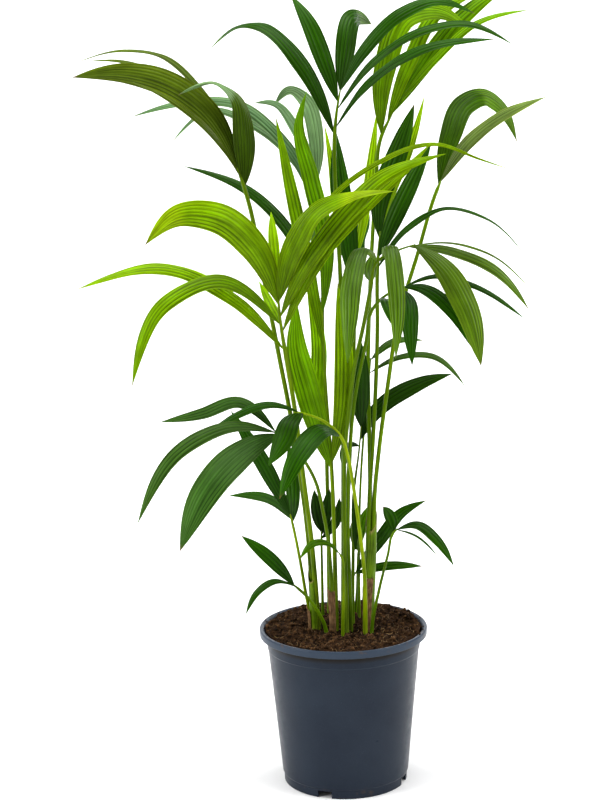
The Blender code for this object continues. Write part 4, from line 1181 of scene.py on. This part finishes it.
def soil_height(spot):
    """Height of the soil's surface: lumps of several sizes, hollow round the stems, heaped at the rim."""
    spot = Vector((spot.x, spot.y, 0))
    reach = spot.length / SOIL_EDGE
    height = SOIL_TOP + 0.3 * MM
    for rise, scale, offset in SOIL_LUMPS:
        height += rise * noise.noise(spot * scale + Vector(offset))
    height += 3.8 * MM * reach ** 3 + 3.2 * MM * reach ** 2 * max(0, spot.y / SOIL_EDGE)
    for rise, middle, size in SOIL_HEAPS:
        height += rise * nearness(spot, middle, size)
    return height


def make_soil():
    """The bed of peat: a rough top, darkened with painted shade under the leaves, and plain sides inside
    the pot.
    """
    turns = [2 * pi * k / SOIL_SIDES for k in range(SOIL_SIDES)]
    rows, colours, uvs = [], [], []
    for i in range(1, SOIL_RINGS + 1):
        row, colour_row = [], []
        for turn in turns:
            spot = around(SOIL_EDGE * (i / SOIL_RINGS), turn)
            wet = 0.80 + 0.25 * noise.noise(spot * 30)
            row.append(Vector((spot.x, spot.y, soil_height(spot))))
            # painted shade: the peat is darker under the leaves
            colour_row.append((wet * (1 - 0.60 * nearness(spot, *SHADED_SOIL)),) * 3)
        rows.append(row)
        colours.append(colour_row)
        uvs.append([(point.x, point.y) for point in row])
    sides = ((SOIL_EDGE - 0.005, SOIL_TOP - 0.012), (SOIL_EDGE - 0.0085, SOIL_TOP - 0.03),
             (FOOT_RADIUS - 0.008, SOIL_BOTTOM + 0.0005))
    for radius, height in sides:
        rows.append([around(radius, turn, height) for turn in turns])
        colours.append([(0.8, 0.8, 0.8)] * SOIL_SIDES)
        uvs.append([(0, 0)] * SOIL_SIDES)
    build = Build()
    first = build.grid(rows, colours, uvs, closed=True, flip=True)
    build.cap(first, SOIL_SIDES)
    build.cap(first + (len(rows) - 1) * SOIL_SIDES, SOIL_SIDES, flip=True)
    peat = soil_material("soil_peat", (0.005, 0.0022, 0.001), (0.082, 0.038, 0.015), 0.67)
    place(build.object("soil_bed", peat), "soil")


def rough_ball():
    """A unit ball of triangles for crumbs."""
    ball = bmesh.new()
    bmesh.ops.create_icosphere(ball, subdivisions=2, radius=1.0)
    points = [vertex.co.copy() for vertex in ball.verts]
    faces = [tuple(vertex.index for vertex in face.verts) for face in ball.faces]
    ball.free()
    return points, faces


def add_crumb(build, ball, centre, size, light, random):
    """A lumpy ball, turned and stretched at random."""
    points, faces = ball
    first = len(build.points)
    turn = Matrix.Rotation(random.uniform(0, 2 * pi), 3, (random.uniform(-1, 1), random.uniform(-1, 1), 1))
    stretch = Vector((random.uniform(0.7, 1.5), random.uniform(0.6, 1.1), random.uniform(0.5, 0.9)))
    offset = Vector((random.uniform(0, 50), random.uniform(0, 50), 0))
    for point in points:
        bulge = 1 + 0.45 * noise.noise(point * 1.6 + offset) + 0.2 * noise.noise(point * 4 + offset)
        shaped = Vector(a * b for a, b in zip(point * bulge, stretch))
        build.points.append(centre + turn @ shaped * size)
        build.colours.append((light, light, light))
        build.uvs.append((0.0, 0.0))
    build.faces.extend(tuple(first + i for i in face) for face in faces)


def make_crumbs(random):
    """Crumbs of peat all over the soil, a few spilled in a heap on the rim, and fine ones along it."""
    ball = rough_ball()
    build = Build()
    for _ in range(CRUMBS):
        radius = SOIL_EDGE * random.random() ** 0.5 * 0.985
        centre = around(radius, random.uniform(0, 2 * pi))
        size = (0.7 + 2.2 * random.random() ** 2.6) * MM
        centre.z = soil_height(centre) + size * 0.35
        add_crumb(build, ball, centre, size, random.uniform(0.3, 1.7), random)
    for _ in range(SPILLED_CRUMBS):
        turn = random.gauss(radians(28), radians(13))
        centre = around(random.uniform(0.083, 0.0925), turn)
        size = random.uniform(1.6, 3.4) * MM
        centre.z = POT_HEIGHT - MM + random.uniform(-2, 4) * MM
        add_crumb(build, ball, centre, size, 0.5, random)
    for _ in range(RIM_CRUMBS):
        turn = random.uniform(0, 2 * pi)
        radius = random.uniform(0.0975, 0.1035)
        size = random.uniform(0.5, 1.2) * MM
        add_crumb(build, ball, around(radius, turn, POT_HEIGHT + size * 0.3), size, 0.8, random)
    peat = soil_material("soil_crumb", (0.008, 0.0035, 0.0015), (0.105, 0.052, 0.021), 0.68)
    place(build.object("soil_crumbs", peat), "soil")


def add_straw(build, random):
    """A short bent fibre or chip of bark lying on the peat."""
    radius = SOIL_EDGE * random.random() ** 0.5 * 0.96
    middle = around(radius, random.uniform(0, 2 * pi))
    heading = random.uniform(0, 2 * pi)
    length = random.uniform(0.003, 0.011)
    bend = random.uniform(-1.05, 1.05)
    path = []
    for step in range(6):
        t = step / 5 - 0.5
        spot = middle + around(length * t, heading + bend * t)
        if spot.length > SOIL_EDGE - MM:
            spot *= (SOIL_EDGE - MM) / spot.length
        spot.z = soil_height(spot) + (0.8 + 2.2 * random.random() * (abs(t) * 2) ** 2) * MM
        path.append(spot)
    colour = mixed((0.09, 0.045, 0.018), (0.27, 0.16, 0.055), random.random() ** 1.5)
    thick = random.uniform(0.18, 0.55) * MM

    def radius_of(share):
        return thick * (0.35 + 0.65 * sin(pi * min(0.98, max(0.02, share))))

    add_tube(build, path, radius_of, lambda share: colour, 6)


def make_straws(random):
    """Fibres and chips of bark all over the soil."""
    build = Build()
    for _ in range(STRAWS):
        add_straw(build, random)
    place(build.object("soil_straws", straw_material()), "soil")


# ---------------------------------------------------------------- stage, light, camera

STAGE_FRONT = -4.0
STAGE_BACK = 2.6                        # where the floor starts to turn up
STAGE_BEND = 1.2
STAGE_TOP = 6.0
STAGE_SIDE = 6.0
STAGE_DROP = 0.2 * MM                   # keeps the floor just under the pot's foot
WORLD_LIGHT = 0.22
PLANT_MIDDLE = (0, 0, 0.5)
LIGHTS = [                              # name, place, what it is aimed at, size and power
    ("softbox_left", (-2.2, -0.9, 1.3), PLANT_MIDDLE, (1.2, 2.0), 52),
    ("softbox_right", (2.2, -1.1, 1.5), PLANT_MIDDLE, (1.2, 2.0), 44),
    ("softbox_top", (0.0, -0.2, 2.7), PLANT_MIDDLE, (2.2, 1.6), 72),
    ("backdrop_left", (-1.6, 1.6, 1.6), (0.2, 3.2, 0.8), (1.2, 1.2), 60),
    ("backdrop_right", (1.6, 1.6, 1.6), (-0.2, 3.2, 0.8), (1.2, 1.2), 60),
]
CAMERA_PLACE = (-0.0487, -2.4, 0.971)
CAMERA_DIP = radians(11.27)
CAMERA_ROLL = radians(-1.2)
CAMERA_LENS = 89.1
SENSOR_HEIGHT = 36.0


def make_stage():
    """A pale floor that turns up into a backdrop, which a camera behind it sees through."""
    profile = [(STAGE_FRONT, 0.0), (STAGE_BACK, 0.0)]
    for step in range(1, 13):
        turn = step / 12 * pi / 2
        profile.append((STAGE_BACK + STAGE_BEND * sin(turn), STAGE_BEND * (1 - cos(turn))))
    profile.append((STAGE_BACK + STAGE_BEND, STAGE_TOP))
    rows = [[Vector((x, y, z)) for x in (-STAGE_SIDE, STAGE_SIDE)] for y, z in profile]
    build = Build()
    build.grid(rows, [[(1, 1, 1)] * 2] * len(rows), [[(0, 0)] * 2] * len(rows))
    n = Nodes("stage_white")
    n.set(Base_Color=0.93, Roughness=0.9, Specular_IOR_Level=0.1)
    n.blend_with(n.add("ShaderNodeBsdfTransparent"), n.add("ShaderNodeNewGeometry").outputs["Backfacing"])
    stage = build.object("stage_floor", n.material)
    stage.location.z = -STAGE_DROP


def make_lights():
    """A soft even world, three soft boxes on the plant, and two that whiten the backdrop."""
    world = bpy.data.worlds.new("studio")
    bpy.context.scene.world = world
    world.use_nodes = True
    background = world.node_tree.nodes["Background"]
    background.inputs["Color"].default_value = rgba(1)
    background.inputs["Strength"].default_value = WORLD_LIGHT
    for name, place_of, aim, size, power in LIGHTS:
        data = bpy.data.lights.new(name, "AREA")
        data.shape = "RECTANGLE"
        data.size, data.size_y = size
        data.energy = power
        light = bpy.data.objects.new(name, data)
        light.location = place_of
        light.rotation_euler = (Vector(aim) - Vector(place_of)).to_track_quat("-Z", "Y").to_euler()
        bpy.context.scene.collection.objects.link(light)


def make_camera():
    data = bpy.data.cameras.new("camera")
    data.sensor_fit = "VERTICAL"
    data.sensor_height = SENSOR_HEIGHT
    data.lens = CAMERA_LENS
    camera = bpy.data.objects.new("camera", data)
    camera.matrix_world = (
        Matrix.Translation(CAMERA_PLACE)
        @ Matrix.Rotation(pi / 2 - CAMERA_DIP, 4, "X")
        @ Matrix.Rotation(CAMERA_ROLL, 4, "Z")
    )
    bpy.context.scene.collection.objects.link(camera)
    bpy.context.scene.camera = camera


def main():
    make_camera()
    make_stage()
    make_lights()
    bpy.context.scene.view_settings.view_transform = "Standard"
    make_pot()
    make_soil()
    make_crumbs(Random(11))
    make_straws(Random(12))
    green = sheath_material("sheath_green", 0.42, 0.45, (7.0, 0.6, 1.0), 0.92)
    brown = sheath_material("sheath_brown", 0.85, 0.40, (12.0, 1.2, 1.0), 0.62)
    for sheath in SHEATHS:
        make_sheath(sheath, brown if sheath.old else green)
    leaf_materials = {
        name: leaf_material("leaf_" + name, tone.glow, tone.gloss) for name, tone in TONES.items()}
    stalk_finish = stalk_material()
    for i, frond in enumerate(FRONDS):
        make_frond(frond, leaf_materials, stalk_finish, Random(100 + i))


main()
